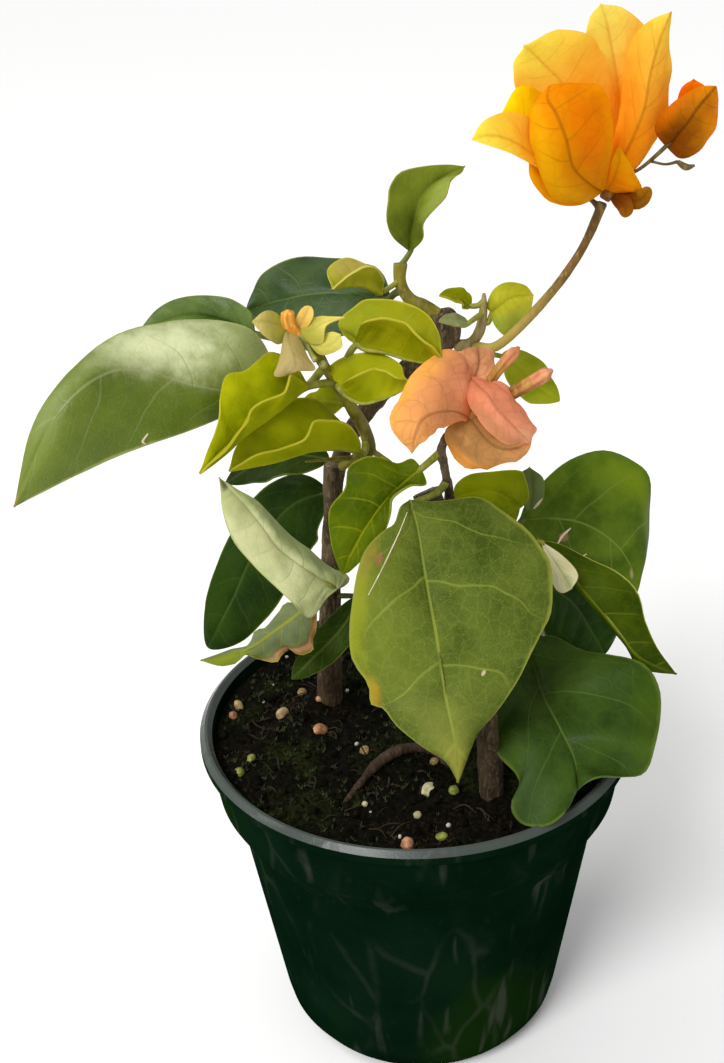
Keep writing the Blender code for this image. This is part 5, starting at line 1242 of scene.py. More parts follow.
bractVeins = {"count": 5.0, "start": 0.1, "shift": 0.4, "arch": 0.34}
bractBuild = {
    "thickness": 0.32,
    "groove": 0.16,
    "swell": 0.16,
    "bulge": 0.06,
    "crumple": 1.0,
    "crumpleSize": 9.0,
    "dryCrumple": (1.7, 5.5),  # for the withered pink head
    "ripple": (3.0, 0.5),
    "outline": 0.05,
    "veins": bractVeins,
    "grid": (32, 40),
    "small": 3.0,              # half width under which a bract is smoother, on the small grid
    "smallGrid": (18, 24),
    "smallRipple": (3.0, 0.3),
}
goldLook = {"base": (0.90, 0.28, 0.006), "tip": (0.98, 0.55, 0.050), "blotch": (0.96, 0.44, 0.020),
            "vein": (0.72, 0.28, 0.006), "glow": 0.55, "depth": 0.3}
bractLooks = {
    "gold": {
        "front": {
            "base": (0.86, 0.42, 0.001), "tip": (0.92, 0.4, 0.001), "blotch": (0.92, 0.5, 0.001),
            "vein": (0.42, 0.12, 0.002), "depth": 0.5,
            # the two tints are the halves either side of the fold: the yellower half is painted light, the
            # deeper orange half painted shade
            "tints": [(0.15, 0.5, 0.3, 0.6, (0.96, 0.62, 0.004), 0.85, 0.9),
                (0.74, 0.52, 0.3, 0.46, (0.88, 0.29, 0.001), 0.8, 0.9)],
        },
        "top_left": {"base": (0.97, 0.42, 0.004), "tip": (0.99, 0.86, 0.14), "blotch": (0.99, 0.74, 0.09)},
        "back_left": {"base": (0.97, 0.44, 0.01), "tip": (0.99, 0.9, 0.22), "blotch": (0.98, 0.8, 0.13)},
        "back_right": {
            "base": (0.97, 0.46, 0.008), "tip": (0.99, 0.8, 0.11), "blotch": (0.98, 0.66, 0.05),
            "vein": (0.46, 0.15, 0.004), "depth": 0.4,
            "tints": [(0.95, 0.4, 0.25, 0.3, (0.94, 0.44, 0.006), 0.8, 0.9)],
        },
        "far_left": {"base": (0.97, 0.5, 0.01), "tip": (0.99, 0.9, 0.13), "blotch": (0.99, 0.78, 0.07)},
        "mid_left": {"base": (0.96, 0.5, 0.001), "tip": (0.99, 0.82, 0.002), "blotch": (0.98, 0.72, 0.002)},
        "low_left": {
            "base": (0.78, 0.34, 0.001), "tip": (0.92, 0.54, 0.002), "blotch": (0.86, 0.42, 0.001),
        },
        "low_front": {
            "base": (0.88, 0.36, 0.001), "tip": (0.98, 0.64, 0.003), "blotch": (0.92, 0.46, 0.002),
        },
        "young_right": {
            "base": (0.24, 0.06, 0.002), "tip": (0.42, 0.17, 0.004), "blotch": (0.3, 0.09, 0.002),
            "vein": (0.12, 0.04, 0.002), "glow": 0.3,
        },
        "young_low": {
            "base": (0.2, 0.05, 0.002), "tip": (0.34, 0.11, 0.003), "blotch": (0.26, 0.08, 0.002),
            "vein": (0.12, 0.04, 0.002), "glow": 0.3,
        },
    },
    "side": {
        "near": {
            "base": (0.3, 0.08, 0.001), "tip": (0.92, 0.34, 0.002), "blotch": (0.66, 0.2, 0.002),
            "vein": (0.16, 0.05, 0.002), "glow": 0.4, "depth": 0.6,
            "tints": [(0.05, 0.45, 0.32, 0.5, (0.8, 0.22, 0.002), 0.8, 0.9),
                (0.95, 0.65, 0.36, 0.45, (0.9, 0.34, 0.003), 0.8, 0.9)],
        },
        "far": {
            "base": (0.9, 0.17, 0.001), "tip": (0.99, 0.3, 0.002), "blotch": (0.97, 0.24, 0.001),
            "glow": 0.5,
        },
    },
    "pink": {
        "left": {
            "base": (0.84, 0.38, 0.16), "tip": (0.99, 0.58, 0.17), "blotch": (0.96, 0.52, 0.26),
            "vein": (0.46, 0.18, 0.07), "glow": 0.5, "depth": 0.5, "net": 3.4, "netShare": 0.28,
            "tints": [(0.95, 0.55, 0.22, 0.4, (1, 0.58, 0.11), 0.85, 0.9),
                (0.8, 0.2, 0.3, 0.22, (0.99, 0.52, 0.3), 0.7, 0.9),
                (0.4, 0.3, 0.34, 0.3, (0.72, 0.38, 0.17), 0.6, 0.9)],
        },
        "right": {
            "base": (0.9, 0.38, 0.2), "tip": (0.98, 0.52, 0.3), "blotch": (0.92, 0.48, 0.3),
            "vein": (0.54, 0.2, 0.09), "glow": 0.5, "depth": 0.45, "net": 3, "netShare": 0.3,
            "tints": [(0.85, 0.6, 0.24, 0.4, (0.7, 0.36, 0.15), 0.7, 0.9),
                (0.3, 0.9, 0.6, 0.16, (0.98, 0.62, 0.34), 0.7, 0.9)],
        },
        "lower": {
            "base": (0.52, 0.28, 0.085), "tip": (0.98, 0.56, 0.22), "blotch": (0.86, 0.47, 0.19),
            "vein": (0.34, 0.13, 0.045), "glow": 0.5, "depth": 0.5, "net": 3.4, "netShare": 0.3,
            "tints": [(0.95, 0.45, 0.14, 0.4, (0.98, 0.48, 0.07), 0.7, 0.8)],
        },
        "back": {
            "base": (0.96, 0.54, 0.28), "tip": (0.72, 0.36, 0.17), "blotch": (0.94, 0.6, 0.36),
            "vein": (0.3, 0.11, 0.04), "glow": 0.45, "net": 4, "netShare": 0.4, "depth": 0.5,
        },
    },
    "young": {
        "hanging": {
            "base": (0.5, 0.4, 0.13), "tip": (0.68, 0.55, 0.24), "blotch": (0.62, 0.44, 0.2),
            "vein": (0.32, 0.24, 0.068), "glow": 0.35,
        },
        "left": {
            "base": (0.44, 0.41, 0.06), "tip": (0.66, 0.54, 0.18), "blotch": (0.56, 0.46, 0.12),
            "vein": (0.32, 0.3, 0.041), "glow": 0.35,
        },
        "right": {
            "base": (0.54, 0.51, 0.068), "tip": (0.97, 0.84, 0.23), "blotch": (0.76, 0.65, 0.135),
            "vein": (0.49, 0.41, 0.081), "glow": 0.35,
        },
        "right_low": {
            "base": (0.7, 0.65, 0.121), "tip": (0.98, 0.89, 0.243), "blotch": (0.84, 0.76, 0.176),
            "vein": (0.54, 0.49, 0.108), "glow": 0.35,
        },
        "petal_right": {
            "base": (0.84, 0.57, 0.108), "tip": (0.97, 0.73, 0.216), "blotch": (0.89, 0.62, 0.149),
            "vein": (0.62, 0.38, 0.081), "glow": 0.35,
        },
    },
}


def bractPiece(head, label, form, order, slotName, nodeName):
    relief = {**bractBuild, "seed": Vector((11.0 * order, 0, 9.0 * order))}
    if head == "pink":
        relief["crumple"], relief["crumpleSize"] = bractBuild["dryCrumple"]
    columns, rows = bractBuild["grid"]
    if form.get("halfWidth", 20) < bractBuild["small"]:
        relief["crumple"] *= 0.5
        relief["ripple"] = bractBuild["smallRipple"]
        columns, rows = bractBuild["smallGrid"]
    name = camelName(f"{head}_bract_{label}")
    bm = bladeMesh(name, form, relief, columns, rows)
    skin = bractSkin(name + "Skin", {**goldLook, **bractLooks[head][label]})
    settle(meshPiece(name, bm, [skin, skin], 75), slotName, nodeName)


def flowerTube(name, tubes, skin, slotName, nodeName, resolution=5):
    bm = bmesh.new()
    for points, radii in tubes:
        addTube(bm, points, radii, spans=8, resolution=resolution, knobby=0.05)
    settle(meshPiece(name, bm, [skin]), slotName, nodeName)


def ribbedBud(name, points, radii, skins, slotName, nodeName):
    # a five-ribbed flower tube, waisted in the middle and closed by its folded tips
    build = {"ribs": 5, "ribRise": 0.16, "steps": 28}
    bm = bmesh.new()
    line = [Vector(point) for point in points]
    ring = bmesh.ops.create_circle(bm, cap_ends=True, segments=40, radius=1.0)["verts"]
    edges = bm.edges[:]
    along = (line[1] - line[0]).normalized()
    side = along.orthogonal().normalized()
    turns = [math.atan2(vert.co.y, vert.co.x) for vert in ring]
    for step in range(build["steps"] + 1):
        share = step / build["steps"]
        if step:
            made = bmesh.ops.extrude_edge_only(bm, edges=edges)["geom"]
            for item in made:
                if isinstance(item, bmesh.types.BMFace):
                    item.material_index = 1 if share > 0.74 else 0
            fresh = {item for item in made if isinstance(item, bmesh.types.BMVert)}
            follow = []
            for vert in ring:
                follow.append(next(edge.other_vert(vert) for edge in vert.link_edges
                                   if edge.other_vert(vert) in fresh))
            ring = follow
            edges = [item for item in made if isinstance(item, bmesh.types.BMEdge)
                     and item.verts[0] in fresh and item.verts[1] in fresh]
        here = smoothPoint(line, share)
        along = (smoothPoint(line, share + 0.02) - smoothPoint(line, share - 0.02)).normalized()
        side = (side - along * side.dot(along)).normalized()
        other = along.cross(side)
        radius = smoothNumber(radii, share) * (1 - ease(0.9, 1.0, share) * 0.75)
        for vert, turn in zip(ring, turns):
            rib = 1 + build["ribRise"] * math.cos(build["ribs"] * turn + 1.5 * share)
            reach = side * math.cos(turn) + other * math.sin(turn)
            vert.co = (here + reach * radius * rib) * mm
    bmesh.ops.contextual_create(bm, geom=edges)
    bmesh.ops.recalc_face_normals(bm, faces=bm.faces)
    settle(meshPiece(name, bm, skins, 60), slotName, nodeName)


def makeGoldHead():
    for order, (label, form) in enumerate(goldBracts.items()):
        bractPiece("gold", label, form, order, "gold_bract", "bloom_gold")
    heartSkin = stalkSkin("goldHeartSkin", (0.26, 0.09, 0.004), (0.12, 0.04, 0.003), (0.42, 0.2, 0.02))
    heart = [((44.5, -2, 229.5), (45.4, -2, 231), (46.3, -2, 232.5)), (1.2, 1.8, 1.4)]
    flowerTube("goldHeart", [heart], heartSkin, "gold_bract", "bloom_gold")
    for order, (label, form) in enumerate(sideBracts.items()):
        bractPiece("side", label, form, 20 + order, "deep_gold_bract", "side_bract")
    stalk = stalkSkin("sideStalkSkin", (0.12, 0.075, 0.018), (0.06, 0.040, 0.010), (0.30, 0.24, 0.08))
    calyx = [
        (((47.5, 1.5, 233), (53, 2, 235), (58.5, 0.3, 240.5), (60, -2, 243)), (0.45, 0.4, 0.5, 0.35)),
        (((55, 1.7, 236.6), (58, 0, 236.2), (60.5, -1, 236.9)), (0.32, 0.28, 0.4)),
        (((60.5, -1, 236.9), (62.2, -2, 235.9), (64, -2.5, 236.3)), (0.5, 0.75, 0.25)),
    ]
    flowerTube("sideBractStalk", calyx, stalk, "deep_gold_bract", "side_bract", 3)


def makePinkHead():
    for order, (label, form) in enumerate(pinkBracts.items()):
        bractPiece("pink", label, form, 30 + order, "salmon_bract", "bloom_pink")
    budSkin = stalkSkin("pinkBudSkin", (0.42, 0.20, 0.045), (0.27, 0.11, 0.018), (0.58, 0.34, 0.10))
    knobSkin = stalkSkin("pinkBudKnobSkin", (0.56, 0.22, 0.095), (0.34, 0.11, 0.045), (0.74, 0.38, 0.20))
    for index, (points, radii) in enumerate(pinkBuds):
        ribbedBud(f"pinkBud{index}", points, radii, [budSkin, knobSkin], "salmon_bract", "bloom_pink")
    heart = [((12.5, -22, 186.5), (13.6, -22, 187.8), (14.8, -21.8, 189)), (1.0, 1.5, 1.1)]
    flowerTube("pinkHeart", [heart], budSkin, "salmon_bract", "bloom_pink")


def makeYoungHead():
    for order, (label, form) in enumerate(youngBracts.items()):
        bractPiece("young", label, form, 40 + order, "young_bract", "bloom_young")
    budSkin = stalkSkin("youngBudSkin", (0.80, 0.36, 0.040), (0.62, 0.24, 0.020), (0.90, 0.56, 0.14))
    ribbedBud("youngBud", youngBud, (1.2, 1.5, 1.3), [budSkin, budSkin], "young_bract", "bloom_young")
    greenSkin = stalkSkin("youngHeartSkin", (0.34, 0.34, 0.08), (0.20, 0.22, 0.04), (0.50, 0.44, 0.18))
    tubes = [
        (((-21.5, -9, 200), (-22.3, -9.8, 201.5), (-23, -10.4, 203), (-24.4, -10.2, 204)),
         (0.9, 1.3, 1.1, 0.8)),
        (((-19.4, -8.6, 196.4), (-19.2, -10.6, 196.6), (-19.3, -12, 197.4)), (0.6, 1.0, 0.7)),
        (((-23, -10, 203), (-22, -12, 200.5), (-20.8, -13.6, 198.8)), (0.45, 0.5, 0.7)),
    ]
    flowerTube("youngHeart", tubes, greenSkin, "young_bract", "bloom_young")


makeGoldHead()
makePinkHead()
makeYoungHead()
print("flower heads: golden, pink and young")


# Pot and peat

# Feed beads on the peat, by tone: distance from the middle, bearing in degrees, radius
feedBeads = {
    "orange": [(25.4, 186, 2.1), (49.5, 171, 1.3), (27, 160, 1.2), (49, 265, 1.8), (30, 330, 1.8),
        (36, 60, 1.9)],
    "tan": [(36, 170, 1.6), (49.5, 165, 1.4), (19.5, 225, 1.2), (18, 283, 1.2), (35.5, 149, 1.6),
        (42, 20, 1.8), (28, 95, 1.7), (46, 320, 1.5)],
    "green": [(45, 197, 1.2), (49.5, 202, 1.4), (33, 284, 1.6), (46, 275, 1.3), (44, 110, 1.8)],
    "pale": [(29.5, 274, 1.9), (36, 247, 0.9), (39, 268, 0.9)],
}

potBuild = {
    "rimRadius": 57.0, "height": 93.0, "rimDepth": 4.2, "rimWidth": 3.2,
    "collarBottom": 75.0, "collarFoot": 53.1, "shoulderBottom": 66.5, "shoulder": 48.1,
    "foot": 39.1, "footHeight": 9.0, "base": 33.2, "wall": 1.5, "steps": 160,
    "slots": 8, "slotSize": (12.0, 9.0, 4.0),
}
# the rim's paler top, laid over it at the given share, is a painted sheen
potLooks = {
    "potPlastic": {"shine": 0.0, "rough": (0.34, 0.46), "rimSheen": 0.0},
    "potRimPlastic": {"shine": 0.25, "rough": (0.18, 0.28), "rimSheen": 0.50},
}
soilBuild = {
    "level": 89.5, "crown": 1.6, "gap": 0.36,
    "heap": 2.0,              # how high the peat is heaped against a trunk
    "feet": [(-22.6, 11.3, 5.5), (17.5, -32.0, 5.0)],   # each trunk's foot and its clear radius
    "cells": 190,             # grid cells across the top
    "crumb": 0.85,            # height of the crumbs
    "crumbs": 420, "crumbSizes": (0.35, 1.5),
    "fibres": 110, "fibreLengths": (2.0, 7.5),
    "grains": 26, "grainSizes": (0.3, 0.75),
    "moss": 520, "mossKinds": 9, "mossLeaves": 5,
    "seed": 7,
}


def potInside():
    # radius and height of the pot's inner wall, from the base up
    pot = potBuild
    return [
        (pot["base"] - 2.0, pot["wall"] + 0.7),
        (pot["foot"] - pot["wall"] - 0.4, pot["footHeight"] - 1.0),
        (pot["shoulder"] - pot["wall"], pot["shoulderBottom"]),
        (pot["collarFoot"] - pot["wall"], pot["collarBottom"] + 0.8),
        (pot["rimRadius"] - pot["rimWidth"], pot["height"] - pot["rimDepth"] + 0.6),
    ]


def innerRadius(height):
    steps = potInside()
    for (r0, z0), (r1, z1) in zip(steps, steps[1:]):
        if z0 <= height <= z1:
            return r0 + (r1 - r0) * (height - z0) / (z1 - z0)
    return steps[-1][0]


def potOutline():
    # the pot's section, up its inner wall, over the rim and down outside
    pot = potBuild
    top, rimFoot = pot["height"], pot["height"] - pot["rimDepth"]
    inner = pot["rimRadius"] - pot["rimWidth"]
    return [
        (0.0, pot["wall"] + 0.7), *potInside(), (inner, top - 1.2), (inner + 1.2, top),
        (pot["rimRadius"] - 1.3, top), (pot["rimRadius"], top - 1.3),
        (pot["rimRadius"], rimFoot + 0.9), (pot["rimRadius"] - 0.9, rimFoot),
        (pot["rimRadius"] - 1.8, rimFoot - 0.3),
        (pot["collarFoot"] + 0.1, pot["collarBottom"] + 0.8),
        (pot["collarFoot"] - 0.6, pot["collarBottom"] - 0.6),
        (pot["shoulder"] + 0.5, pot["shoulderBottom"] + 0.9),
        (pot["shoulder"] - 0.1, pot["shoulderBottom"] - 0.9),
        (pot["foot"] + 0.1, pot["footHeight"] + 0.8), (pot["foot"] - 0.9, pot["footHeight"] - 3.6),
        (pot["base"] + 2.6, 1.7), (pot["base"] + 1.0, 0.35), (pot["base"], 0.0), (0.0, 0.0),
    ]


def potSkin(name, look):
    # dark green moulded plastic: faint soft streaks and a pale net, partly dried water marks and partly
    # painted reflections, with dust and fine scratches
    material, tree = newSkin(name)
    place = objectPlace(tree)
    bend = put(tree, "TexNoise", {"Vector": place, "Scale": 28.0, "Detail": 2.0}).outputs[1]
    bend = put(tree, "VectorMath", {0: bend, 3: 0.012}, operation="SCALE").outputs[0]
    bent = put(tree, "VectorMath", {0: objectPlace(tree, (1, 1, 0.45)), 1: bend}, operation="ADD")
    webs = ranged(tree, cells(tree, bent.outputs[0], 66), 0.0, 0.075, 1.0, 0.0)
    streaks = ranged(tree, grain(tree, objectPlace(tree, (1, 1, 0.10)), 170, 2), 0.60, 0.72)
    cloudy = grain(tree, place, 35, 4)
    fine = grain(tree, place, 2200, 3, 0.6)
    scratch = grain(tree, objectPlace(tree, (1, 1, 0.06)), 1500, 2)
    dust = ranged(tree, grain(tree, place, 240, 6, 0.7), 0.56, 0.74)
    olive = ranged(tree, grain(tree, place, 16, 2), 0.52, 0.68)
    webShare = times(tree, webs, ranged(tree, cloudy, 0.42, 0.68, 0.0, 0.34))
    streakShare = times(tree, streaks, ranged(tree, cloudy, 0.36, 0.60, 0.08, 0.65))
    colour = mixed(tree, ranged(tree, cloudy, 0.3, 0.7), (0.0012, 0.0070, 0.0030),
                   (0.0030, 0.0125, 0.0050))
    colour = laid(
        tree, colour,
        (olive, 0.6, (0.0060, 0.0200, 0.0010)),
        # the pale net and streaks: partly dried water marks, partly painted reflections
        (sums(tree, "MAXIMUM", webShare, streakShare), 1.0, (0.040, 0.046, 0.032)),
        (dust, 0.02, (0.16, 0.15, 0.12)),
        # painted sheen: the top of the rim made paler grey-green
        (ranged(tree, objectHeight(tree), 0.0885, 0.0925), look["rimSheen"], (0.10, 0.115, 0.105)),
    )
    rough = plus(tree, ranged(tree, cloudy, 0.3, 0.7, *look["rough"]), (dust, 0.25))
    relief = plus(tree, times(tree, fine, 0.5), (scratch, 0.4), (webs, 0.6))
    finished(tree, colour, rough, relief, 0.35, 0.0003, look["shine"])
    return material


def makePot():
    bm = bmesh.new()
    verts = [bm.verts.new((radius * mm, 0, height * mm)) for radius, height in potOutline()]
    edges = [bm.edges.new(pair) for pair in zip(verts, verts[1:])]
    bmesh.ops.spin(bm, geom=verts + edges, cent=(0, 0, 0), axis=(0, 0, 1), angle=tau,
                   steps=potBuild["steps"], use_merge=True, dvec=(0, 0, 0))
    bmesh.ops.remove_doubles(bm, verts=bm.verts, dist=0.01 * mm)
    bmesh.ops.recalc_face_normals(bm, faces=bm.faces)
    for face in bm.faces:
        if face.calc_center_median().z > (potBuild["height"] - 0.8) * mm:
            face.material_index = 1
    skins = [potSkin(name, look) for name, look in potLooks.items()]
    pot = meshPiece("potShell", bm, skins, 30)
    bm = bmesh.new()
    for index in range(potBuild["slots"]):
        box = bmesh.ops.create_cube(bm, size=mm)["verts"]
        bmesh.ops.scale(bm, vec=potBuild["slotSize"], verts=box)
        edges = [edge for edge in bm.edges if not edge.verts[0].tag]
        bmesh.ops.bevel(bm, geom=edges, offset=0.8 * mm, segments=3, profile=0.5, affect="EDGES",
                        material=-1)
        fresh = [vert for vert in bm.verts if not vert.tag]
        bmesh.ops.translate(bm, vec=((potBuild["foot"] - 1.0) * mm, 0, 0.6 * mm), verts=fresh)
        turn = Matrix.Rotation(tau * (index + 0.5) / potBuild["slots"], 3, "Z")
        bmesh.ops.rotate(bm, matrix=turn, verts=fresh)
        for vert in fresh:
            vert.tag = True
    cutter = meshPiece("drainSlots", bm, [])
    cut = pot.modifiers.new("drain", "BOOLEAN")
    cut.operation = "DIFFERENCE"
    cut.object = cutter
    applyModifiers(pot)
    bpy.data.objects.remove(cutter, do_unlink=True)
    settle(pot, "pot_plastic", "pot")
    print("pot: turned and slotted")


def soilHeight(x, y):
    waves = (
        1.1 * math.sin(0.19 * x + 0.7) * math.cos(0.16 * y - 0.4)
        + 0.7 * math.sin(0.37 * x - 0.31 * y + 1.9)
        + 0.4 * math.cos(0.61 * x + 0.53 * y)
    )
    share = min(1.0, math.hypot(x, y) / innerRadius(soilBuild["level"]))
    heap = sum(soilBuild["heap"] * math.exp(-((x - footX) ** 2 + (y - footY) ** 2) / 40.0)
               for footX, footY, clear in soilBuild["feet"])
    return soilBuild["level"] + waves * (1 - share ** 6) + soilBuild["crown"] * (0.4 - share ** 2) + heap


def crumbRise(x, y):
    # lumps and pits of the peat
    place = Vector((x, y, 0))
    lumps = noise.voronoi(place / 2.6)[0][0] - noise.voronoi(place / 1.15)[0][0] * 0.5
    return soilBuild["crumb"] * (0.55 * plainNoise(place, 1.9, 4) - lumps + 0.3)


def peatSkin():
    material, tree = newSkin("peatSkin")
    place = objectPlace(tree)
    coarse = grain(tree, place, 900, 5, 0.7)
    fine = grain(tree, place, 3200, 4, 0.7)
    patches = grain(tree, place, 60, 3)
    mossy = times(tree, ranged(tree, patches, 0.50, 0.64), ranged(tree, coarse, 0.38, 0.6))
    warm = times(tree, ranged(tree, patches, 0.50, 0.38), ranged(tree, coarse, 0.5, 0.66))
    colour = mixed(tree, ranged(tree, coarse, 0.36, 0.66), (0.0012, 0.0011, 0.0005),
                   (0.0070, 0.0062, 0.0026))
    colour = laid(
        tree, colour,
        (mossy, 0.75, (0.020, 0.027, 0.004)),
        (warm, 0.7, (0.036, 0.018, 0.007)),
        (ranged(tree, fine, 0.64, 0.8), 0.35, (0.040, 0.030, 0.018)),
    )
    rough = ranged(tree, fine, 0.3, 0.7, 0.85, 0.98)
    finished(tree, colour, rough, plus(tree, coarse, (fine, 0.5)), 1.0, 0.0008, 0.06)
    return material


def makeSoil(skin):
    bm = bmesh.new()
    count = soilBuild["cells"]
    bmesh.ops.create_grid(bm, x_segments=count, y_segments=count, size=1.0)
    edge = innerRadius(soilBuild["level"] - 1) - soilBuild["gap"]
    for vert in bm.verts:
        u, v = vert.co.x, vert.co.y
        x, y = edge * u * math.sqrt(1 - v * v / 2), edge * v * math.sqrt(1 - u * u / 2)
        calm = 1 - ease(0.93, 1.0, math.hypot(x, y) / edge)
        vert.co = Vector((x, y, soilHeight(x, y) + crumbRise(x, y) * calm)) * mm
    rim = [item for item in bm.edges if item.is_boundary]
    for height in (potBuild["collarBottom"] + 0.4, potBuild["shoulderBottom"],
                   potBuild["footHeight"] - 0.7, potBuild["wall"] + 1.0):
        made = bmesh.ops.extrude_edge_only(bm, edges=rim)["geom"]
        fresh = [item for item in made if isinstance(item, bmesh.types.BMVert)]
        rim = [item for item in made if isinstance(item, bmesh.types.BMEdge) and item.is_boundary]
        radius = innerRadius(height) - soilBuild["gap"]
        for vert in fresh:
            flat = Vector((vert.co.x, vert.co.y, 0)).normalized() * radius
            vert.co = Vector((flat.x, flat.y, height)) * mm
    bmesh.ops.contextual_create(bm, geom=rim)
    bmesh.ops.recalc_face_normals(bm, faces=bm.faces)
    settle(meshPiece("peatSoil", bm, [skin]), "peat", "soil")


def soilSpot(draw, reach):
    # an even place on the peat, away from the trunks
    while True:
        distance = innerRadius(soilBuild["level"]) * reach * math.sqrt(draw.random())
        turn = draw.random() * tau
        x, y = distance * math.cos(turn), distance * math.sin(turn)
        if all(math.hypot(x - footX, y - footY) > clear for footX, footY, clear in soilBuild["feet"]):
            return x, y


def lump(bm, centre, radius, draw, uneven, flat=0.75, rounds=1):
    # a small irregular lump
    verts = bmesh.ops.create_icosphere(bm, subdivisions=rounds, radius=1.0)["verts"]
    turn = Quaternion(Vector((draw.random() - 0.5, draw.random() - 0.5, 1)).normalized(),
                      draw.random() * tau).to_matrix()
    stretch = Vector((draw.uniform(0.8, 1.25), draw.uniform(0.8, 1.2), flat * draw.uniform(0.85, 1.15)))
    for vert in verts:
        grown = 1 + uneven * noise.noise(vert.co * 1.7 + Vector(centre))
        place = turn @ Vector([a * b for a, b in zip(vert.co, stretch)])
        vert.co = (Vector(centre) + place * radius * grown) * mm


def makeCrumbs(skin):
    draw = random.Random(soilBuild["seed"])
    bm = bmesh.new()
    for _ in range(soilBuild["crumbs"]):
        x, y = soilSpot(draw, 0.97)
        radius = draw.uniform(*soilBuild["crumbSizes"]) ** 1.2
        lump(bm, (x, y, soilHeight(x, y) + crumbRise(x, y) + radius * 0.2), radius, draw, 0.5,
             rounds=2 if radius > 0.9 else 1)
    settle(meshPiece("peatCrumbs", bm, [skin]), "peat")


def grainSkin(name, pale, dark, rough):
    material, tree = newSkin(name)
    place = objectPlace(tree)
    cloudy = grain(tree, place, 420, 4)
    fine = grain(tree, place, 2400, 3)
    colour = mixed(tree, ranged(tree, cloudy, 0.36, 0.64), dark, pale)
    colour = laid(tree, colour, (ranged(tree, fine, 0.55, 0.75), 0.4, dark))
    rough = ranged(tree, fine, 0.3, 0.7, rough, rough + 0.2)
    finished(tree, colour, rough, sums(tree, "ADD", cloudy, fine), 0.5, 0.0003)
    return material


def makeBeads():
    # round feed beads in four tones, where the solids have them
    draw = random.Random(soilBuild["seed"] + 1)
    tones = {
        "orange": grainSkin("beadOrange", (0.52, 0.26, 0.120), (0.22, 0.09, 0.035), 0.4),
        "tan": grainSkin("beadTan", (0.44, 0.30, 0.130), (0.18, 0.11, 0.040), 0.45),
        "green": grainSkin("beadGreen", (0.24, 0.27, 0.035), (0.09, 0.11, 0.012), 0.5),
        "pale": grainSkin("beadPale", (0.60, 0.56, 0.330), (0.30, 0.26, 0.130), 0.55),
    }
    for letter, (tone, skin) in zip("ABCD", tones.items()):
        bm = bmesh.new()
        for distance, bearing, radius in feedBeads[tone]:
            turn = math.radians(bearing)
            x, y = distance * math.cos(turn), distance * math.sin(turn)
            centre = (x, y, soilHeight(x, y) + radius * 0.35)
            lump(bm, centre, radius, draw, 0.16, flat=0.85, rounds=3)
        settle(meshPiece("feedBeads" + letter, bm, [skin]), "peat", "soil")


def makeGrains():
    draw = random.Random(soilBuild["seed"] + 2)
    bm = bmesh.new()
    for _ in range(soilBuild["grains"]):
        x, y = soilSpot(draw, 0.95)
        radius = draw.uniform(*soilBuild["grainSizes"])
        lump(bm, (x, y, soilHeight(x, y) + 0.35), radius, draw, 0.6, flat=0.9)
    skin = grainSkin("whiteGrain", (0.62, 0.60, 0.52), (0.36, 0.34, 0.28), 0.7)
    settle(meshPiece("whiteGrains", bm, [skin]), "peat")


def makeFibres(skin):
    # short peat fibres and bark slivers, lying and standing a little
    draw = random.Random(soilBuild["seed"] + 3)
    bm = bmesh.new()
    for _ in range(soilBuild["fibres"]):
        x, y = soilSpot(draw, 0.9)
        turn = draw.random() * tau
        length = draw.uniform(*soilBuild["fibreLengths"])
        rise = draw.uniform(0.3, 1.3)
        base = Vector((x, y, soilHeight(x, y) + 0.2))
        middle = base + Vector((math.cos(turn) * length / 2, math.sin(turn) * length / 2, rise))
        turn += draw.uniform(-0.8, 0.8)
        end = middle + Vector((math.cos(turn) * length / 2, math.sin(turn) * length / 2, -rise * 0.6))
        if math.hypot(end.x, end.y) < innerRadius(soilBuild["level"]) * 0.95:
            wide = draw.uniform(0.10, 0.26)
            addTube(bm, [base, middle, end], [wide, wide * 1.2, wide * 0.5], spans=3, resolution=0)
    settle(meshPiece("peatFibres", bm, [skin]), "peat")


def mossTuft(draw):
    # one tuft of leaflets at the origin, to be copied
    bm = bmesh.new()
    for _ in range(soilBuild["mossLeaves"]):
        turn = draw.random() * tau
        lean = draw.uniform(0.25, 0.9)
        reach = Vector((math.cos(turn) * lean, math.sin(turn) * lean, draw.uniform(0.6, 1.5)))
        leaflet = bmesh.ops.create_cone(bm, cap_ends=True, segments=4, radius1=0.15 * mm,
                                        radius2=0.02 * mm, depth=reach.length * mm)["verts"]
        turned = reach.to_track_quat("Z", "Y").to_matrix().to_4x4()
        bmesh.ops.transform(bm, matrix=Matrix.Translation(reach / 2 * mm) @ turned, verts=leaflet)
    tuft = bpy.data.meshes.new("mossTuft")
    bm.to_mesh(tuft)
    bm.free()
    return tuft


def makeMoss():
    # low tufts of moss on the left and front of the peat
    draw = random.Random(soilBuild["seed"] + 4)
    tufts = [mossTuft(draw) for _ in range(soilBuild["mossKinds"])]
    bm = bmesh.new()
    placed = 0
    while placed < soilBuild["moss"]:
        x, y = soilSpot(draw, 0.96)
        wanted = 0.5 + 0.9 * plainNoise((x + 40, y, 0), 14.0, 2) - 0.012 * (x + 10)
        if draw.random() > wanted:
            continue
        placed += 1
        base = Vector((x, y, soilHeight(x, y) + crumbRise(x, y) - 0.15))
        tuft = draw.choice(tufts).copy()
        turn = Matrix.Rotation(draw.random() * tau, 4, "Z")
        tuft.transform(Matrix.Translation(base * mm) @ turn @ Matrix.Scale(draw.uniform(0.8, 1.2), 4))
        bm.from_mesh(tuft)
        bpy.data.meshes.remove(tuft)
    for tuft in tufts:
        bpy.data.meshes.remove(tuft)
    skin = grainSkin("mossSkin", (0.040, 0.056, 0.006), (0.010, 0.016, 0.002), 0.7)
    settle(meshPiece("mossTufts", bm, [skin]), "peat")


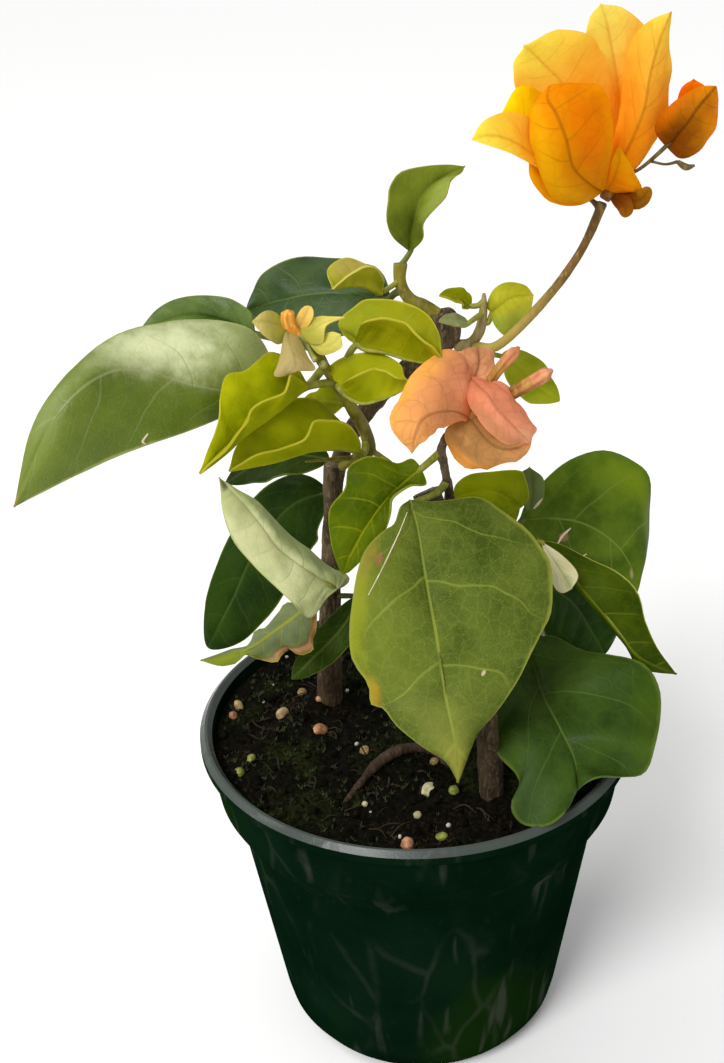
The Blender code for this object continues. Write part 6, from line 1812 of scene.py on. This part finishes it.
makePot()
peat = peatSkin()
makeSoil(peat)
makeCrumbs(peat)
makeBeads()
makeGrains()
makeFibres(barkSkin("fibreSkin", (0.008, 0.005, 0.003), (0.032, 0.020, 0.011), (0.085, 0.055, 0.030)))
makeMoss()
print("peat: crumbs, beads, grains, fibres and moss")


# Floor, light and camera

stageBuild = {
    "floorSize": 6.0,
    "worldStrength": 0.55,
    "daylight": ((-0.40, -0.60, 0.69), 2.3, 25.0),     # where from, strength, softness in degrees
    # place, aim, size, watts, colour
    "softbox": ((-0.80, 0.10, 0.85), (0, 0, 0.16), 0.5, 4.0, (1.0, 0.99, 0.97)),
}
# The camera fitted to the pot's rim, collar and base in the photograph
cameraBuild = {"place": (-0.012, -0.324, 0.3185), "aim": (-0.012, 0.0, 0.148), "roll": -2.35, "lens": 50.0}


def addLamp(name, kind, turn, place=(0, 0, 0), **fields):
    light = bpy.data.lights.new(name, kind)
    for field, value in fields.items():
        setattr(light, field, value)
    lamp = bpy.data.objects.new(name, light)
    lamp.location = place
    lamp.rotation_euler = turn.to_euler()
    bpy.context.scene.collection.objects.link(lamp)


def makeStage():
    bm = bmesh.new()
    bmesh.ops.create_grid(bm, x_segments=1, y_segments=1, size=stageBuild["floorSize"] / 2)
    material, tree = newSkin("paleFloor")
    shader = tree.nodes["Principled BSDF"]
    shader.inputs["Base Color"].default_value = (0.93, 0.93, 0.925, 1)
    shader.inputs["Roughness"].default_value = 0.75
    shader.inputs["Specular IOR Level"].default_value = 0.2
    floor = meshPiece("floor", bm, [material])
    world = bpy.data.worlds.new("studio")
    world.use_nodes = True
    sky = world.node_tree.nodes["Background"]
    sky.inputs["Color"].default_value = (1.0, 1.0, 1.0, 1)
    sky.inputs["Strength"].default_value = stageBuild["worldStrength"]
    bpy.context.scene.world = world
    place, aim, size, watts, colour = stageBuild["softbox"]
    turn = (Vector(aim) - Vector(place)).to_track_quat("-Z", "Y")
    addLamp("keySoftbox", "AREA", turn, place, shape="DISK", size=size, energy=watts, color=colour)
    aim, strength, softness = stageBuild["daylight"]
    turn = Vector(aim).to_track_quat("Z", "Y")
    addLamp("daylight", "SUN", turn, energy=strength, angle=math.radians(softness))
    bpy.context.scene.view_settings.view_transform = "Standard"


def makeCamera():
    lens = bpy.data.cameras.new("view")
    lens.lens = cameraBuild["lens"]
    lens.clip_start = 0.01
    camera = bpy.data.objects.new("view", lens)
    place = Vector(cameraBuild["place"])
    look = (Vector(cameraBuild["aim"]) - place).to_track_quat("-Z", "Y")
    camera.location = place
    camera.rotation_mode = "QUATERNION"
    camera.rotation_quaternion = look @ Quaternion((0, 0, 1), math.radians(cameraBuild["roll"]))
    bpy.context.scene.collection.objects.link(camera)
    bpy.context.scene.camera = camera


makeStage()
makeCamera()
